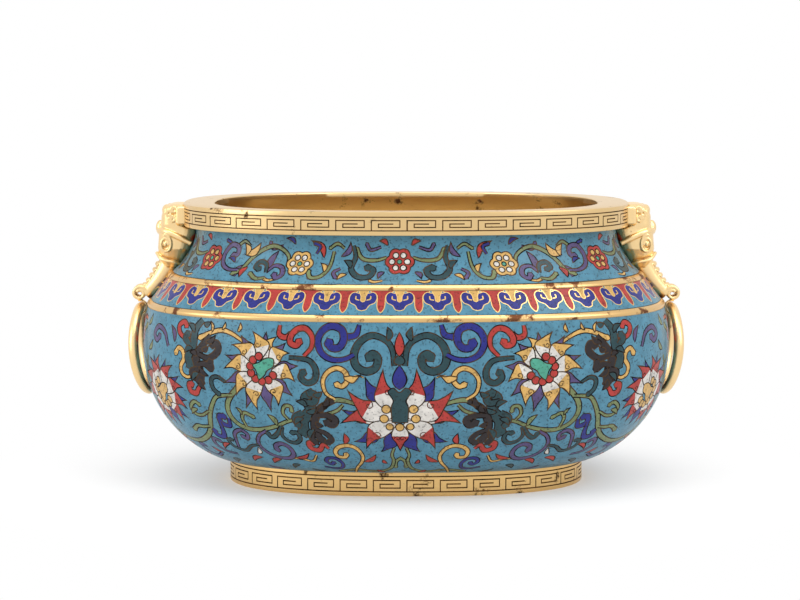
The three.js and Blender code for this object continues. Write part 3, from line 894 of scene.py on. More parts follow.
def draw_lotus(art):
    """The main lotus at the middle of each long side, seen from its side."""
    centre = Vector((ASIDE, 58))

    def both(across, rise):
        return [centre + Vector((mirror * across, rise)) for mirror in (1, -1)]

    for across, rise, reach_in in ((22.5, 29.5, 0.4), (39.5, 7, 0.4), (34, -18.5, 0.4), (15, -28, 0.4)):
        for tip in both(across, rise):
            mirror = 1 if tip.x > centre.x else -1
            art.flame(centre + (tip - centre) * reach_in, tip, 10.5, "cobalt", hook=-0.4 * mirror)
    for across, rise, width in ((41.5, -4, 15), (34.5, 20.5, 15.5), (10.5, 35, 14), (25.5, -25.5, 14)):
        for tip in both(across, rise):
            mirror = 1 if tip.x > centre.x else -1
            hook = -0.5 * mirror if rise > 0 else 0.5 * mirror
            art.flame(centre + (tip - centre) * 0.12, tip, width, "white", "red", hook, 0.46)
    art.flame(centre + Vector((0, -4)), centre + Vector((0, -27.5)), 12, "white", "red", 0, 0.4)
    for across, rise, radius in ((9, 7, 3.4), (10.6, 0, 3.4), (7, -6, 3), (0, -6.5, 3.3)):
        for middle in both(across, rise)[: 2 if across else 1]:
            art.disc(middle, radius, "yellow")
    pod = [(5.6, -3), (6, 8), (4.6, 13), (8, 19), (4, 22), (0, 19)]
    line = [centre + Vector(end) for end in pod]
    line += [centre + Vector((-across, rise)) for across, rise in reversed(pod[:-1])]
    art.cell(flow([*line, line[0]], 4)[:-1], "green")
    art.leaf(centre + Vector((0, 20)), centre + Vector((0, 37)), 10, "cobalt")
    art.leaf(centre + Vector((0, 36)), centre + Vector((0, 44)), 8, "green")
    art.leaf(centre + Vector((0, 42)), centre + Vector((0, 58.5)), 7, "red")


def moved(aside, points):
    return [(aside + x, y) for x, y in points]


def draw_neck(width, height, settings):
    """Blossoms on a waving stem, with palmettes between them."""
    art = Drawing(width, height, in_mm(settings.wire))
    stem = [(13, 20), (20, 18), (29, 19), (34, 26)]
    tendril = [(36, 28), (34, 20), (36, 12), (31, 6), (24, 6), (21.5, 11), (26, 13)]
    loop = [(49, 24), (50.5, 13), (55, 6), (61, 5), (64, 10)]
    for aside in (0, 136):
        art.rod(moved(aside, stem), 1.8, "leaf")
        art.rod(moved(aside, tendril), 3, "green")
        for ends, wide, tone in (
            ([(36, 12), (42, 18)], 4.6, "green"), ([(38, 8), (44, 3)], 3.8, "yellow"),
            ([(14, 10), (18, 4)], 4, "mauve"), ([(12, 28), (19, 31)], 4, "red"),
        ):
            art.leaf(*moved(aside, ends), wide, tone, 0.2)
        art.rod(moved(aside, loop), 2, "leaf")
        for ends, wide, tone in (
            ([(55, 19), (66, 31)], 5, "red"), ([(53, 9), (57, 16)], 4, "yellow"),
            ([(44, 20), (38, 31)], 4.4, "mauve"),
        ):
            art.leaf(*moved(aside, ends), wide, tone, 0.2)
    sprigs = (
        ([(17, 27), (24, 25), (27, 29)], 1.4, "mauve"), ([(42, 26), (47, 29), (52, 26)], 1.4, "leaf"),
        ([(15, 3), (20, 2), (23, 3)], 1.2, "yellow"), ([(43, 12), (47, 9), (45, 5)], 1.6, "mauve"),
        ([(61, 22), (59, 27), (63, 29)], 1.4, "cobalt"),
    )
    for aside in (0, 68, 136):
        for points, wide, tone in sprigs:
            art.rod(moved(aside, points), wide, tone)
    art.rod([(79, 13), (80, 20), (86, 25), (93, 26.5), (101, 23), (107, 17), (111, 9), (116, 6)],
            2.2, "leaf")
    art.leaf((91, 10), (87.5, 24), 5.4, "mauve", -0.15)
    art.rod([(92, 8), (88, 13), (82.5, 12), (80.5, 7), (83.5, 4), (86, 7)], 2.4, "mauve")
    art.rod([(92, 8), (94, 14), (99, 15.5), (101, 12), (97.5, 10)], 2.4, "green")
    art.rod([(91, 4), (97, 3), (103, 7)], 1.8, "leaf")
    art.leaf((113, 20), (102, 29), 6, "yellow", 0.2)
    art.leaf((111, 19), (115, 28), 5, "yellow", 0.2)
    art.leaf((107, 12), (109, 3), 5, "red", 0.2)
    art.rod([(113, 9), (121, 9), (128, 13), (130, 20), (126, 26), (120, 25), (119, 20), (123, 19)],
            2.6, "mauve")
    art.leaf((76, 28), (84, 32), 3.6, "cobalt", 0.2)
    art.leaf((118, 14), (126, 17), 3.6, "cobalt", 0.2)
    art.blossom((ASIDE, 17), 10, "red", "white")
    art.blossom((71, 15), 9.6, "yellow", "white")
    art.blossom((141, 16), 10, "red", "yellow")
    art.blossom((208, 16), 9.6, "yellow", "red")
    return art


def draw_shoulder(width, height, settings):
    """A row of ruyi heads with pendants between them."""
    art = Drawing(width, height, in_mm(settings.wire), "bright")
    heads = settings.heads / 4
    step = width / heads
    half_red = [(8.6, 1), (7, -1.2), (3.2, -3.4), (2.9, -11), (1.7, -14.6), (0, -16.2)]
    half_blue = [
        (0, -14.8), (3, -13.8), (4.8, -10.8), (8.2, -9),
        (9.6, -5.6), (8.8, -2.2), (6.2, -0.6), (3.4, -1.4),
    ]
    half_gold = [(0, -8.4), (1.7, -7.2), (1.9, -4), (3.4, 0.6)]

    def shield(x, half, colour):
        line = [(x + across, height + drop) for across, drop in half]
        line += [(x - across, height + drop) for across, drop in reversed(half) if across]
        art.cell(flow([*line, line[0]], 3)[:-1], colour, 0.55)

    for i in range(math.ceil(heads)):
        shield(ASIDE + step * (i + 0.5), half_red, "red")
    for i in range(math.ceil(heads)):
        x = ASIDE + step * i
        shield(x, half_blue, "cobalt")
        shield(x, half_gold, "yellow")
        for mirror in (1, -1):
            hook = [(2.4, -6.8), (4.8, -6), (5, -4)]
            line = flow([(x + mirror * across, height + drop) for across, drop in hook], 6)
            art.band(line, 0.2, "yellow", wire=0.3)
    return art


def height_table(low, high, steps=300):
    """Length along the profile against height, half way between the side's and the end's."""
    share = (1 + PLAN_SHARE) / 2
    rows = [(0.0, low)]
    for i in range(1, steps + 1):
        z = low + (high - low) * i / steps
        before = rows[-1][1]
        length = math.hypot(z - before, (outline(z) - outline(before)) * share)
        rows.append((rows[-1][0] + length, z))
    return rows


def height_at(rows, length):
    low, high = 0, len(rows) - 1
    while high - low > 1:
        middle = (low + high) // 2
        if rows[middle][0] <= length:
            low = middle
        else:
            high = middle
    part = (length - rows[low][0]) / (rows[high][0] - rows[low][0])
    return rows[low][1] + (rows[high][1] - rows[low][1]) * min(max(part, 0), 1)


def enamel_zone(name, node, low, high, draw, settings):
    """Wraps a drawing round the vessel, mirrored into its four quarters."""
    rows = height_table(low, high)
    middle = outline((low + high) / 2)
    width = QUARTER * middle / PLAN_LENGTH
    art = draw(width, rows[-1][0], settings)
    corners, cut, tones = art.triangles(in_mm(settings.spacing))
    points = []
    normals = []
    faces = []
    indices = []
    for mirror_x, mirror_y in ((1, 1), (-1, 1), (-1, -1), (1, -1)):
        start = len(points)
        shift = -mirror_x * ASIDE if mirror_y > 0 else 0
        for corner in corners:
            z = height_at(rows, corner.y)
            across = shift + corner.x * (width - shift) / width
            side = mirror_x if across >= 0 else -mirror_x
            share = abs(across) / width
            slope = (outline(z + 0.2) - outline(z - 0.2)) / 0.4
            place = oval_place(share, outline(z), z)
            normal = oval_normal(share, z, slope)
            points.append((place.x * side, place.y * mirror_y, place.z))
            normals.append((normal.x * side, normal.y * mirror_y, normal.z))
        for triangle, tone in zip(cut, tones, strict=True):
            order = triangle if mirror_x * mirror_y > 0 else triangle[::-1]
            faces.append([start + i for i in order])
            indices.append(tone)
    materials = [FINISHES[finish] for finish in CELL_FINISHES]
    piece = new_piece(name, points, faces, materials, indices)
    if len(piece.data.vertices) == len(normals):
        piece.data.normals_split_custom_set_from_vertices(normals)
    stand_for(piece, node, "vessel")
    return piece


# Metalwork


def fret_cells():
    """The grooves of one meander unit, on a grid of three cells to a step."""
    path = [(0, 0), (0, 3), (8, 3), (8, 1), (2, 1), (2, 2), (6, 2)]
    grooves = set()
    for (x0, y0), (x1, y1) in zip(path, path[1:], strict=False):
        count = 3 * max(abs(x1 - x0), abs(y1 - y0))
        for i in range(count + 1):
            grooves.add((3 * x0 + (3 * (x1 - x0) * i) // count, 3 * y0 + (3 * (y1 - y0) * i) // count))
    return grooves


FRET_WIDE = 30
FRET_HIGH = 13
# The raised lands stand this far inside the border's face, and the grooves this far above the sunk band
LAND_SET_BACK = 0.1
GROOVE_RISE = 0.15


def fret_band(name, half, low, high, units, metal, depth):
    """A key fret whose lands stand level with the borders and whose grooves are dark."""
    grooves = fret_cells()
    columns = units * FRET_WIDE
    land = half - LAND_SET_BACK
    ground = half - depth + GROOVE_RISE
    points = []
    faces = []
    indices = []
    index_of = {}

    def corner(column, row, reach):
        key = (column % columns, row, reach)
        if key not in index_of:
            share = 4 * (key[0] / columns)
            quarter = int(share) % 4
            part = share - int(share)
            inward = quarter in (1, 3)
            x, y = plan_point(turn_at(1 - part if inward else part), reach)
            x = x if quarter < 2 else -x
            y = y if quarter in (0, 3) else -y
            index_of[key] = len(points)
            points.append((x, y, low + (high - low) * row / FRET_HIGH))
        return index_of[key]

    def raised(column, row):
        if row in (0, FRET_HIGH - 1):
            return False
        return (column % FRET_WIDE, row) not in grooves

    def wall(start, end, up):
        """The step between a land and a groove along one edge of a cell."""
        corners = [corner(*start, ground), corner(*end, ground), corner(*end, land), corner(*start, land)]
        faces.append(corners if up else corners[::-1])
        indices.append(1)

    for column in range(columns):
        for row in range(FRET_HIGH):
            up = raised(column, row)
            reach = land if up else ground
            across, above = column + 1, row + 1
            around = ((column, row), (across, row), (across, above), (column, above))
            faces.append([corner(*end, reach) for end in around])
            indices.append(0 if up else 1)
            if raised(across % columns, row) != up:
                wall((across, row), (across, above), up)
            if above < FRET_HIGH and raised(column, above) != up:
                wall((across, above), (column, above), up)
    piece = new_piece(name, points, faces, [FINISHES[metal], FINISHES["patina"]], indices, False)
    stand_for(piece, None, "vessel")


def fretted_face(half, low, high, border, depth):
    """The outer face of a moulding, with rounded edges and a sunk band for the key fret."""
    sunk = half - depth
    return [
        (half - EDGE, low), (half - EDGE_IN, low + EDGE_UP), (half, low + EDGE), (half, low + border),
        (sunk, low + border), (sunk, high - border),
        (half, high - border), (half, high - EDGE), (half - EDGE_IN, high - EDGE_UP), (half - EDGE, high),
    ]


def build_rim(settings):
    depth = in_mm(settings.fret_depth)
    inside = outline(NECK_TOP) - ENAMEL - GAP - WALL
    profile = [
        *fretted_face(RIM_HALF, NECK_TOP, RIM_TOP, RIM_BORDER, depth),
        (RIM_MOUTH + EDGE, RIM_TOP), (RIM_MOUTH, RIM_TOP - EDGE), (RIM_MOUTH, RIM_TOP - RIM_LIP),
        (inside, NECK_TOP),
    ]
    piece = oval_solid("rim", profile, FINISHES["gilt"])
    stand_for(piece, "rim_ring", "vessel")
    low, high = NECK_TOP + RIM_BORDER, RIM_TOP - RIM_BORDER
    fret_band("rim_fret", RIM_HALF, low, high, settings.rim_frets, "gilt", depth)


def build_foot(settings):
    depth = in_mm(settings.fret_depth)
    inside = FOOT_HALF - FOOT_WALL
    face = fretted_face(FOOT_HALF, 0, FOOT_HEIGHT, FOOT_BORDER, depth)
    piece = oval_solid("foot", [*face, (inside, FOOT_HEIGHT), (inside, 0)], FINISHES["foot"])
    stand_for(piece, "foot_ring", "vessel")
    low, high = FOOT_BORDER, FOOT_HEIGHT - FOOT_BORDER
    fret_band("foot_fret", FOOT_HALF, low, high, settings.foot_frets, "foot", depth)


def build_base():
    half = FOOT_HALF - FOOT_WALL - 2 * GAP
    low = FOOT_HEIGHT - BASE_PLATE
    profile = [(CORE, low), (half, low), (half, FOOT_HEIGHT), (CORE, FOOT_HEIGHT)]
    piece = oval_solid("base", profile, FINISHES["foot"], on_axis=True)
    stand_for(piece, "base_plate", "vessel")


# Share of a half round that a fillet's section covers, and the number of its steps
FILLET_ROUND = 0.96
FILLET_STEPS = 8


def build_fillets(settings):
    bulge = in_mm(settings.bulge)
    for name, (low, high) in (("lower_fillet", LOWER_FILLET), ("upper_fillet", UPPER_FILLET)):
        face = []
        for share in between(-1, 1, FILLET_STEPS):
            z = (low + high) / 2 + share * (high - low) / 2
            face.append((outline(z) + bulge * math.sqrt(1 - (share * FILLET_ROUND) ** 2), z))
        profile = [*face, (outline(high) - ENAMEL, high), (outline(low) - ENAMEL, low)]
        piece = oval_solid(f"{name}_gilding", profile, FINISHES["fillet"])
        stand_for(piece, name, "vessel")


def build_shell():
    skin = ENAMEL + GAP
    floor = BELLY_LOW + WALL
    heights = between(BELLY_LOW, NECK_TOP - GAP, 60)
    outside = [(outline(z) - skin, z) for z in heights]
    inside = [(outline(z) - skin - WALL, z) for z in reversed(heights) if z > floor + WALL]
    well = [(outline(floor) - skin - 2 * WALL, floor), (CORE, floor)]
    profile = [(CORE, BELLY_LOW), *outside, *inside, *well]
    piece = oval_solid("shell", profile, FINISHES["inside"], on_axis=True)
    stand_for(piece, "vessel_shell", "vessel")


# Handles


def ball(radii, place):
    bpy.ops.mesh.primitive_uv_sphere_add(segments=32, ring_count=18, radius=1)
    form = bpy.context.object
    size = Matrix.Diagonal((*(radius * MM for radius in radii), 1))
    form.data.transform(Matrix.Translation(Vector(place) * MM) @ size)
    return form


def tube(points, radius, resolution=5):
    """A round rod through points, with rounded thickness at each."""
    curve = bpy.data.curves.new("rod", "CURVE")
    curve.dimensions = "3D"
    curve.bevel_depth = radius * MM
    curve.bevel_resolution = resolution
    curve.use_fill_caps = True
    spline = curve.splines.new("POLY")
    spline.points.add(len(points) - 1)
    for target, point in zip(spline.points, points, strict=True):
        target.co = (*(Vector(point) * MM), 1)
    rod = bpy.data.objects.new("rod", curve)
    mesh = bpy.data.meshes.new_from_object(rod)
    bpy.data.objects.remove(rod)
    form = bpy.data.objects.new("rod", mesh)
    bpy.context.scene.collection.objects.link(form)
    return form


def loft(sections, sides=40):
    """A solid through superelliptic sections: x, z, half thickness, half width, lean and power of each."""
    points = []
    faces = []
    for x, z, thick, wide, lean, power in sections:
        for i in range(sides):
            turn = 2 * math.pi * i / sides
            across = math.copysign(abs(math.cos(turn)) ** (2 / power), math.cos(turn)) * thick
            side = math.copysign(abs(math.sin(turn)) ** (2 / power), math.sin(turn)) * wide
            points.append((x + across * math.cos(lean), side, z + across * math.sin(lean)))
    for ring in range(len(sections) - 1):
        for i in range(sides):
            j = (i + 1) % sides
            a = ring * sides
            faces.append((a + i, a + j, a + sides + j, a + sides + i))
    faces.append(tuple(reversed(range(sides))))
    faces.append(tuple(range((len(sections) - 1) * sides, len(sections) * sides)))
    return new_piece("loft", points, faces, [])


def spiral(steps, start, turns, outer, inner):
    """Reach and direction along a spiral from its outer end; a negative number of turns runs clockwise."""
    return [
        (outer + (inner - outer) * part, start + 2 * math.pi * turns * part) for part in between(0, 1, steps)
    ]


# The right mask in millimetres: where its face stands, and how deep its back sinks into neck and rim
MASK_FACE = 169.6
MASK_HALF_WIDTH = 19.0
MASK_SINK = 2.2
MASK_RIM_SINK = 2.0
# Height, stand of the face and share of the width of each slice of the head
MASK_SLICES = (
    (190.4, -8, 0.62), (188.4, -3, 0.86), (182.6, -1, 0.97), (176.5, -0.7, 0.97), (174, -0.5, 0.97),
    (170, 1, 1), (160, 1.8, 0.98), (153, 0.6, 0.8), (147, -3, 0.56),
)
EYE_X = 165.0
EYE_Z = 163.5
# How far from the middle the carving on the sides of the head lies
CARVING_SIDE = 18.6
EYE_BEAD_SIDE = 18.4
LOCK_SIDE = 18.3


def head():
    sections = []
    for z, stand, width in MASK_SLICES:
        back = RIM_HALF - MASK_RIM_SINK if z > NECK_TOP else outline(z) - MASK_SINK
        front = MASK_FACE + stand
        sections.append(((front + back) / 2, z, (front - back) / 2, MASK_HALF_WIDTH * width, 0, 3.2))
    return loft(sections)


def brow():
    half = [(147, 19.4, 164), (157, 19.4, 169), (166, 16, 172.4)]
    line = [*half, (170.8, 0, 171.2), *((x, -y, z) for x, y, z in reversed(half))]
    return tube(flow(line, 8), 1.9)


def eye(side):
    """A bead inside a tall spiral."""
    line = []
    for reach, turn in spiral(29, 1.2, 1.35, 4.3, 2.1):
        x, z = EYE_X + reach * math.cos(turn), EYE_Z + 1.5 * reach * math.sin(turn)
        line.append((x, side * CARVING_SIDE, z))
    return [tube(line, 1.0), ball((1.5, 1.6, 2.2), (EYE_X, side * EYE_BEAD_SIDE, EYE_Z))]


def temple(side):
    """The flat panel under the rim at the back of the head."""
    slices = ((189.4, 3.2, 1.6, 4), (188.4, 4.2, 2.4, 5), (178, 4.2, 2.6, 5), (176.6, 3, 1.4, 4))
    panel = loft([(153.4, z, thick, wide, 0, power) for z, thick, wide, power in slices], 24)
    panel.data.transform(Matrix.Translation((0, side * CARVING_SIDE * MM, 0)))
    return panel


def locks(side):
    """Three small curls of hair."""
    forms = []
    for x, z in ((159, 187), (162.6, 184.5), (160, 180.6)):
        line = []
        for k in range(11):
            turn = 0.8 * k
            fade = 1 - k / 14
            line.append((x + 2.4 * math.cos(turn) * fade, side * LOCK_SIDE, z + 2.6 * math.sin(turn) * fade))
        forms.append(tube(line, 0.9))
    return forms


def cheek(side):
    line = [(172, side * 10, 157), (168, side * 16, 153), (160, side * 17, 151), (154, side * 14, 149)]
    return tube(flow(line, 6), 1.1)


def mask_forms():
    forms = [head(), brow()]
    for side in (-1, 1):
        forms += [*eye(side), temple(side), *locks(side), cheek(side)]
    for place in (-1, 0, 1):
        forms.append(ball((3.4, 4.8, 4.2), (165.4 - 1.4 * abs(place), place * 10.6, 185.4)))
    forms.append(ball((3.2, 4.6, 5.2), (170, 0, 173.5)))
    return forms


# The scroll at the trunk's tip rests above the ring, and the hook's wires close under it
SCROLL_RADIUS = 5.7
SCROLL_GAP = 1.0
SCROLL_Z = RING_PIVOT[1] + RING_WIRE + SCROLL_GAP + SCROLL_RADIUS
SCROLL_ROD = 1.3
SCROLL_HALF_WIDTH = 5.4
HOOK_ROD = 0.75
HOOK_GAP = 0.6
HOOK_HALF_WIDTH = 1.7
FOLD_ROD = 1.7
# Places of the trunk's middle line as x and z
TRUNK_ROOT = Vector((161.5, 152.0))
TRUNK_BEND = Vector((169.5, 136.5))
TRUNK_TIP = Vector((RING_PIVOT[0] - 4, SCROLL_Z - 0.4))


def trunk_station(share):
    """Place, lean, half thickness and half width of the trunk at a share of its length."""
    place = TRUNK_ROOT * (1 - share) ** 2 + TRUNK_BEND * 2 * share * (1 - share) + TRUNK_TIP * share**2
    way = (TRUNK_BEND - TRUNK_ROOT) * (1 - share) + (TRUNK_TIP - TRUNK_BEND) * share
    return place, math.atan2(way.x, -way.y), 8.6 - 4 * share, 9.6 - 3.2 * share


def trunk_body():
    sections = []
    for share in between(0, 1, 60):
        place, lean, thick, wide = trunk_station(share)
        sections.append((place.x, place.y, thick, wide, lean, 2.3))
    return loft(sections)


def trunk_folds():
    """Raised folds across the outer side of the trunk."""
    forms = []
    for share in between(0.26, 0.88, 4):
        place, lean, thick, wide = trunk_station(share)
        fold = []
        for turn in between(-0.75, 0.75, 12):
            across = thick * math.cos(turn)
            x = place.x + across * math.cos(lean)
            fold.append((x, wide * math.sin(turn), place.y + across * math.sin(lean)))
        forms.append(tube(fold, FOLD_ROD))
    return forms


def trunk_scroll():
    """The rolled tip, as rods side by side."""
    roll = spiral(39, math.pi * 0.85, -1.35, 4.9, 1.8)
    x, z = RING_PIVOT[0] - 0.3, SCROLL_Z
    forms = []
    for side in between(-SCROLL_HALF_WIDTH, SCROLL_HALF_WIDTH, 4):
        line = [(x + reach * math.cos(turn), side, z + reach * math.sin(turn)) for reach, turn in roll]
        forms.append(tube(line, SCROLL_ROD))
    return forms


def hook():
    """The loop that runs from the scroll round under the ring's wire."""
    reach = RING_WIRE + HOOK_GAP + HOOK_ROD
    x, z = RING_PIVOT
    turns = [math.pi * part for part in between(0.42, 1.85, 24)]
    forms = []
    for side in between(-HOOK_HALF_WIDTH, HOOK_HALF_WIDTH, 3):
        line = [(x + reach * math.cos(turn), side, z + reach * math.sin(turn)) for turn in turns]
        forms.append(tube(line, HOOK_ROD))
    return forms


def fuse(name, forms, voxel, material):
    """Joins forms into one skin and softens it as a casting is."""
    bpy.ops.object.select_all(action="DESELECT")
    for form in forms:
        form.select_set(True)
    bpy.context.view_layer.objects.active = forms[0]
    bpy.ops.object.join()
    piece = bpy.context.object
    piece.name = name
    remesh = piece.modifiers.new("skin", "REMESH")
    remesh.mode = "VOXEL"
    remesh.voxel_size = voxel * MM
    remesh.use_smooth_shade = True
    smooth = piece.modifiers.new("soften", "SMOOTH")
    smooth.factor = 0.5
    smooth.iterations = 2
    for modifier in list(piece.modifiers):
        bpy.ops.object.modifier_apply(modifier=modifier.name)
    piece.data.materials.clear()
    piece.data.materials.append(material)
    return piece


def build_handles(settings):
    forms = mask_forms() + [trunk_body()] + trunk_folds() + trunk_scroll() + hook()
    right = fuse("right_mask_and_trunk", forms, in_mm(settings.casting), FINISHES["cast"])
    left = right.copy()
    left.data = right.data.copy()
    left.name = "left_mask_and_trunk"
    left.data.transform(Matrix.Rotation(math.pi, 4, "Z"))
    bpy.context.scene.collection.objects.link(left)
    stand_for(right, "right_handle", "vessel")
    stand_for(left, "left_handle", "vessel")


RING_STEPS = 144
RING_SIDES = 28


def build_rings():
    """Each ring, bent outward below the pivot to follow the belly."""
    centre = RING_PIVOT[1] - RING_RADIUS
    for name, way in (("right_ring", 1), ("left_ring", -1)):
        points = []
        faces = []
        for i in range(RING_STEPS):
            turn = 2 * math.pi * i / RING_STEPS
            here = i * RING_SIDES
            after = (i + 1) % RING_STEPS * RING_SIDES
            for j in range(RING_SIDES):
                side = 2 * math.pi * j / RING_SIDES
                reach = RING_RADIUS + RING_WIRE * math.cos(side)
                z = centre + reach * math.cos(turn)
                bend = ((RING_PIVOT[1] - RING_BEND_TOP) ** 2 - (z - RING_BEND_TOP) ** 2) / (2 * RING_BEND)
                x = RING_PIVOT[0] + bend + RING_WIRE * math.sin(side)
                points.append((way * x, way * reach * math.sin(turn), z))
                k = (j + 1) % RING_SIDES
                faces.append((here + j, here + k, after + k, after + j))
        piece = new_piece(f"{name}_wire", points, faces, [FINISHES["cast"]])
        stand_for(piece, name, name)


def dress_rivets():
    for side in ("left", "right"):
        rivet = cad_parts[f"{side}_handle_rivet"]
        rivet.data.materials.clear()
        rivet.data.materials.append(FINISHES["inside"])


# Stage


def background_rays(nodes, links):
    """One for the rays that show the white background: camera, glossy and transmission."""
    path = nodes.new("ShaderNodeLightPath")
    sight = nodes.new("ShaderNodeMath")
    sight.operation = "ADD"
    shown = nodes.new("ShaderNodeMath")
    shown.operation = "ADD"
    shown.use_clamp = True
    links.new(path.outputs["Is Camera Ray"], sight.inputs[0])
    links.new(path.outputs["Is Glossy Ray"], sight.inputs[1])
    links.new(sight.outputs[0], shown.inputs[0])
    links.new(path.outputs["Is Transmission Ray"], shown.inputs[1])
    return shown.outputs[0]


# In metres: the floor's half size, and the distances between which it fades to the white background
FLOOR_HALF = 12
FADE_START = 0.06
FADE_END = 0.3
# The world's strength for the rays that light the object
WORLD_LIGHT = 0.8
# Name, place, size and power of each soft lamp, and the point that all are aimed at
LAMPS = (
    ("key", (1.2, -1.0, 1.2), 1.1, 12),
    ("fill", (-1.5, -0.8, 0.7), 1.1, 10),
    ("top", (0.0, -0.3, 1.6), 1.2, 10),
)
LAMP_AIM = Vector((0, 0, 0.1))


def build_stage():
    size = FLOOR_HALF
    mesh = bpy.data.meshes.new("floor")
    corners = [(-size, -size, 0), (size, -size, 0), (size, size, 0), (-size, size, 0)]
    mesh.from_pydata(corners, [], [(0, 1, 2, 3)])
    floor = bpy.data.objects.new("floor", mesh)
    bpy.context.scene.collection.objects.link(floor)
    material = bpy.data.materials.new("pale floor")
    material.use_nodes = True
    nodes, links = material.node_tree.nodes, material.node_tree.links
    shader = nodes["Principled BSDF"]
    shader.inputs["Base Color"].default_value = (0.86, 0.86, 0.86, 1)
    shader.inputs["Roughness"].default_value = 0.8
    place = nodes.new("ShaderNodeTexCoord")
    far = nodes.new("ShaderNodeVectorMath")
    far.operation = "LENGTH"
    fade = nodes.new("ShaderNodeMapRange")
    fade.inputs["From Min"].default_value = FADE_START
    fade.inputs["From Max"].default_value = FADE_END
    seen = nodes.new("ShaderNodeMath")
    seen.operation = "MULTIPLY"
    white = nodes.new("ShaderNodeEmission")
    mix = nodes.new("ShaderNodeMixShader")
    links.new(place.outputs["Object"], far.inputs[0])
    links.new(far.outputs["Value"], fade.inputs["Value"])
    links.new(fade.outputs["Result"], seen.inputs[0])
    links.new(background_rays(nodes, links), seen.inputs[1])
    links.new(seen.outputs[0], mix.inputs["Fac"])
    links.new(shader.outputs["BSDF"], mix.inputs[1])
    links.new(white.outputs["Emission"], mix.inputs[2])
    links.new(mix.outputs["Shader"], nodes["Material Output"].inputs["Surface"])
    mesh.materials.append(material)


def build_light():
    world = bpy.data.worlds.new("studio")
    bpy.context.scene.world = world
    world.use_nodes = True
    nodes, links = world.node_tree.nodes, world.node_tree.links
    sky = nodes["Background"]
    strength = nodes.new("ShaderNodeMapRange")
    strength.inputs["To Min"].default_value = WORLD_LIGHT
    strength.inputs["To Max"].default_value = 1
    sky.inputs["Color"].default_value = (1, 1, 1, 1)
    links.new(background_rays(nodes, links), strength.inputs["Value"])
    links.new(strength.outputs["Result"], sky.inputs["Strength"])
    for name, place, size, power in LAMPS:
        lamp = bpy.data.lights.new(name, "AREA")
        lamp.size = size
        lamp.energy = power
        lit = bpy.data.objects.new(name, lamp)
        lit.location = place
        lit.rotation_euler = (LAMP_AIM - Vector(place)).to_track_quat("-Z", "Y").to_euler()
        bpy.context.scene.collection.objects.link(lit)


def build_camera(settings):
    camera = bpy.data.cameras.new("camera")
    camera.sensor_width = 36
    camera.lens = settings.lens
    holder = bpy.data.objects.new("camera", camera)
    holder.location = (settings.aside, -settings.distance, settings.height)
    holder.rotation_euler = (math.pi / 2 - settings.pitch, 0, 0)
    bpy.context.scene.collection.objects.link(holder)
    bpy.context.scene.camera = holder
    bpy.context.scene.view_settings.view_transform = "Standard"


# Operators and panel


class BURNER_OT_finishes(bpy.types.Operator):
    """Mixes the enamels and metals from the colour settings"""

    bl_idname = "burner.finishes"
    bl_label = "Finishes"

    def execute(self, context):
        mix_finishes(context.scene.burner_enamel, context.scene.burner_metal)
        return {"FINISHED"}


class BURNER_OT_vessel(bpy.types.Operator):
    """Makes the bronze shell, its gilt inside and the base plate"""

    bl_idname = "burner.vessel"
    bl_label = "Vessel"

    def execute(self, context):
        build_shell()
        build_base()
        return {"FINISHED"}


class BURNER_OT_mouldings(bpy.types.Operator):
    """Makes the rim, the foot with their key frets, and the fillets"""

    bl_idname = "burner.mouldings"
    bl_label = "Rim, foot and fillets"

    def execute(self, context):
        settings = context.scene.burner_metal
        build_rim(settings)
        build_foot(settings)
        build_fillets(settings)
        return {"FINISHED"}


class BURNER_OT_enamel(bpy.types.Operator):
    """Draws the enamel cells and wraps them round the belly, shoulder and neck"""

    bl_idname = "burner.enamel"
    bl_label = "Enamel"

    def execute(self, context):
        settings = context.scene.burner_enamel
        for name, low, high, draw in (
            ("belly", BELLY_LOW, LOWER_FILLET[0] - GAP, draw_belly),
            ("shoulder", LOWER_FILLET[1] + GAP, UPPER_FILLET[0] - GAP, draw_shoulder),
            ("neck", UPPER_FILLET[1] + GAP, NECK_TOP - GAP, draw_neck),
        ):
            enamel_zone(f"{name}_cells", f"{name}_enamel", low, high, draw, settings)
        return {"FINISHED"}


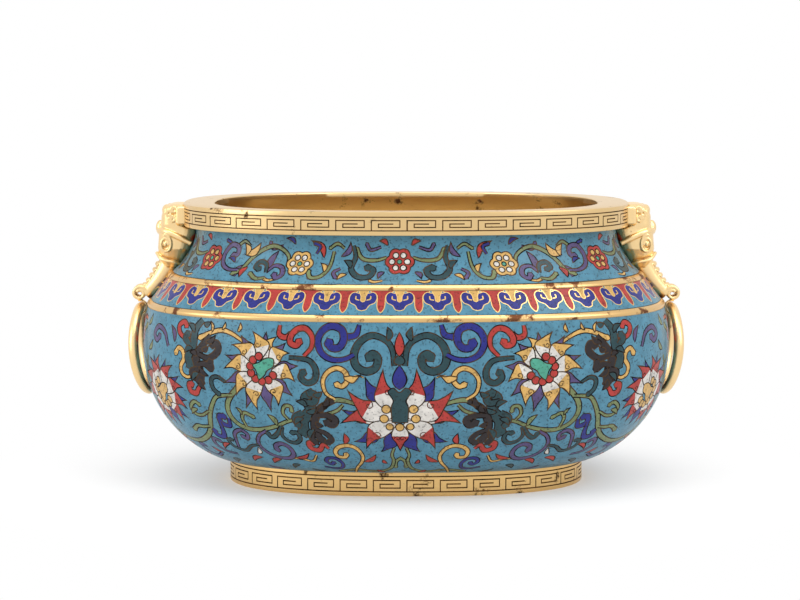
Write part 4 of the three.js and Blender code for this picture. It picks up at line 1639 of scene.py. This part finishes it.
class BURNER_OT_handles(bpy.types.Operator):
    """Makes the two beast masks with their trunks, and dresses the rivets"""

    bl_idname = "burner.handles"
    bl_label = "Handles"

    def execute(self, context):
        build_handles(context.scene.burner_metal)
        dress_rivets()
        return {"FINISHED"}


class BURNER_OT_rings(bpy.types.Operator):
    """Makes the two loose rings"""

    bl_idname = "burner.rings"
    bl_label = "Rings"

    def execute(self, context):
        build_rings()
        return {"FINISHED"}


class BURNER_OT_stage(bpy.types.Operator):
    """Makes the floor, the lights and the camera"""

    bl_idname = "burner.stage"
    bl_label = "Stage"

    def execute(self, context):
        build_stage()
        build_light()
        build_camera(context.scene.burner_camera)
        return {"FINISHED"}


OPERATORS = (
    BURNER_OT_finishes,
    BURNER_OT_vessel,
    BURNER_OT_mouldings,
    BURNER_OT_enamel,
    BURNER_OT_handles,
    BURNER_OT_rings,
    BURNER_OT_stage,
)


class BURNER_PT_panel(bpy.types.Panel):
    """Lists the operators and, under them, the settings that they read"""

    bl_label = "Incense burner"
    bl_space_type = "VIEW_3D"
    bl_region_type = "UI"
    bl_category = "Burner"

    def draw(self, context):
        for operator in OPERATORS:
            self.layout.operator(operator.bl_idname)
        for key, group in SETTINGS.items():
            for name in group.__annotations__:
                self.layout.prop(getattr(context.scene, key), name)


SETTINGS = {"burner_enamel": BurnerEnamel, "burner_metal": BurnerMetal, "burner_camera": BurnerCamera}
CLASSES = (*SETTINGS.values(), *OPERATORS, BURNER_PT_panel)


def register():
    for kind in CLASSES:
        bpy.utils.register_class(kind)
    for key, group in SETTINGS.items():
        setattr(bpy.types.Scene, key, bpy.props.PointerProperty(type=group))


def unregister():
    for key in SETTINGS:
        delattr(bpy.types.Scene, key)
    for kind in reversed(CLASSES):
        bpy.utils.unregister_class(kind)


def main():
    register()
    bpy.ops.burner.finishes()
    bpy.ops.burner.stage()
    bpy.ops.burner.vessel()
    bpy.ops.burner.mouldings()
    bpy.ops.burner.enamel()
    bpy.ops.burner.handles()
    bpy.ops.burner.rings()


if __name__ == "__main__":
    main()
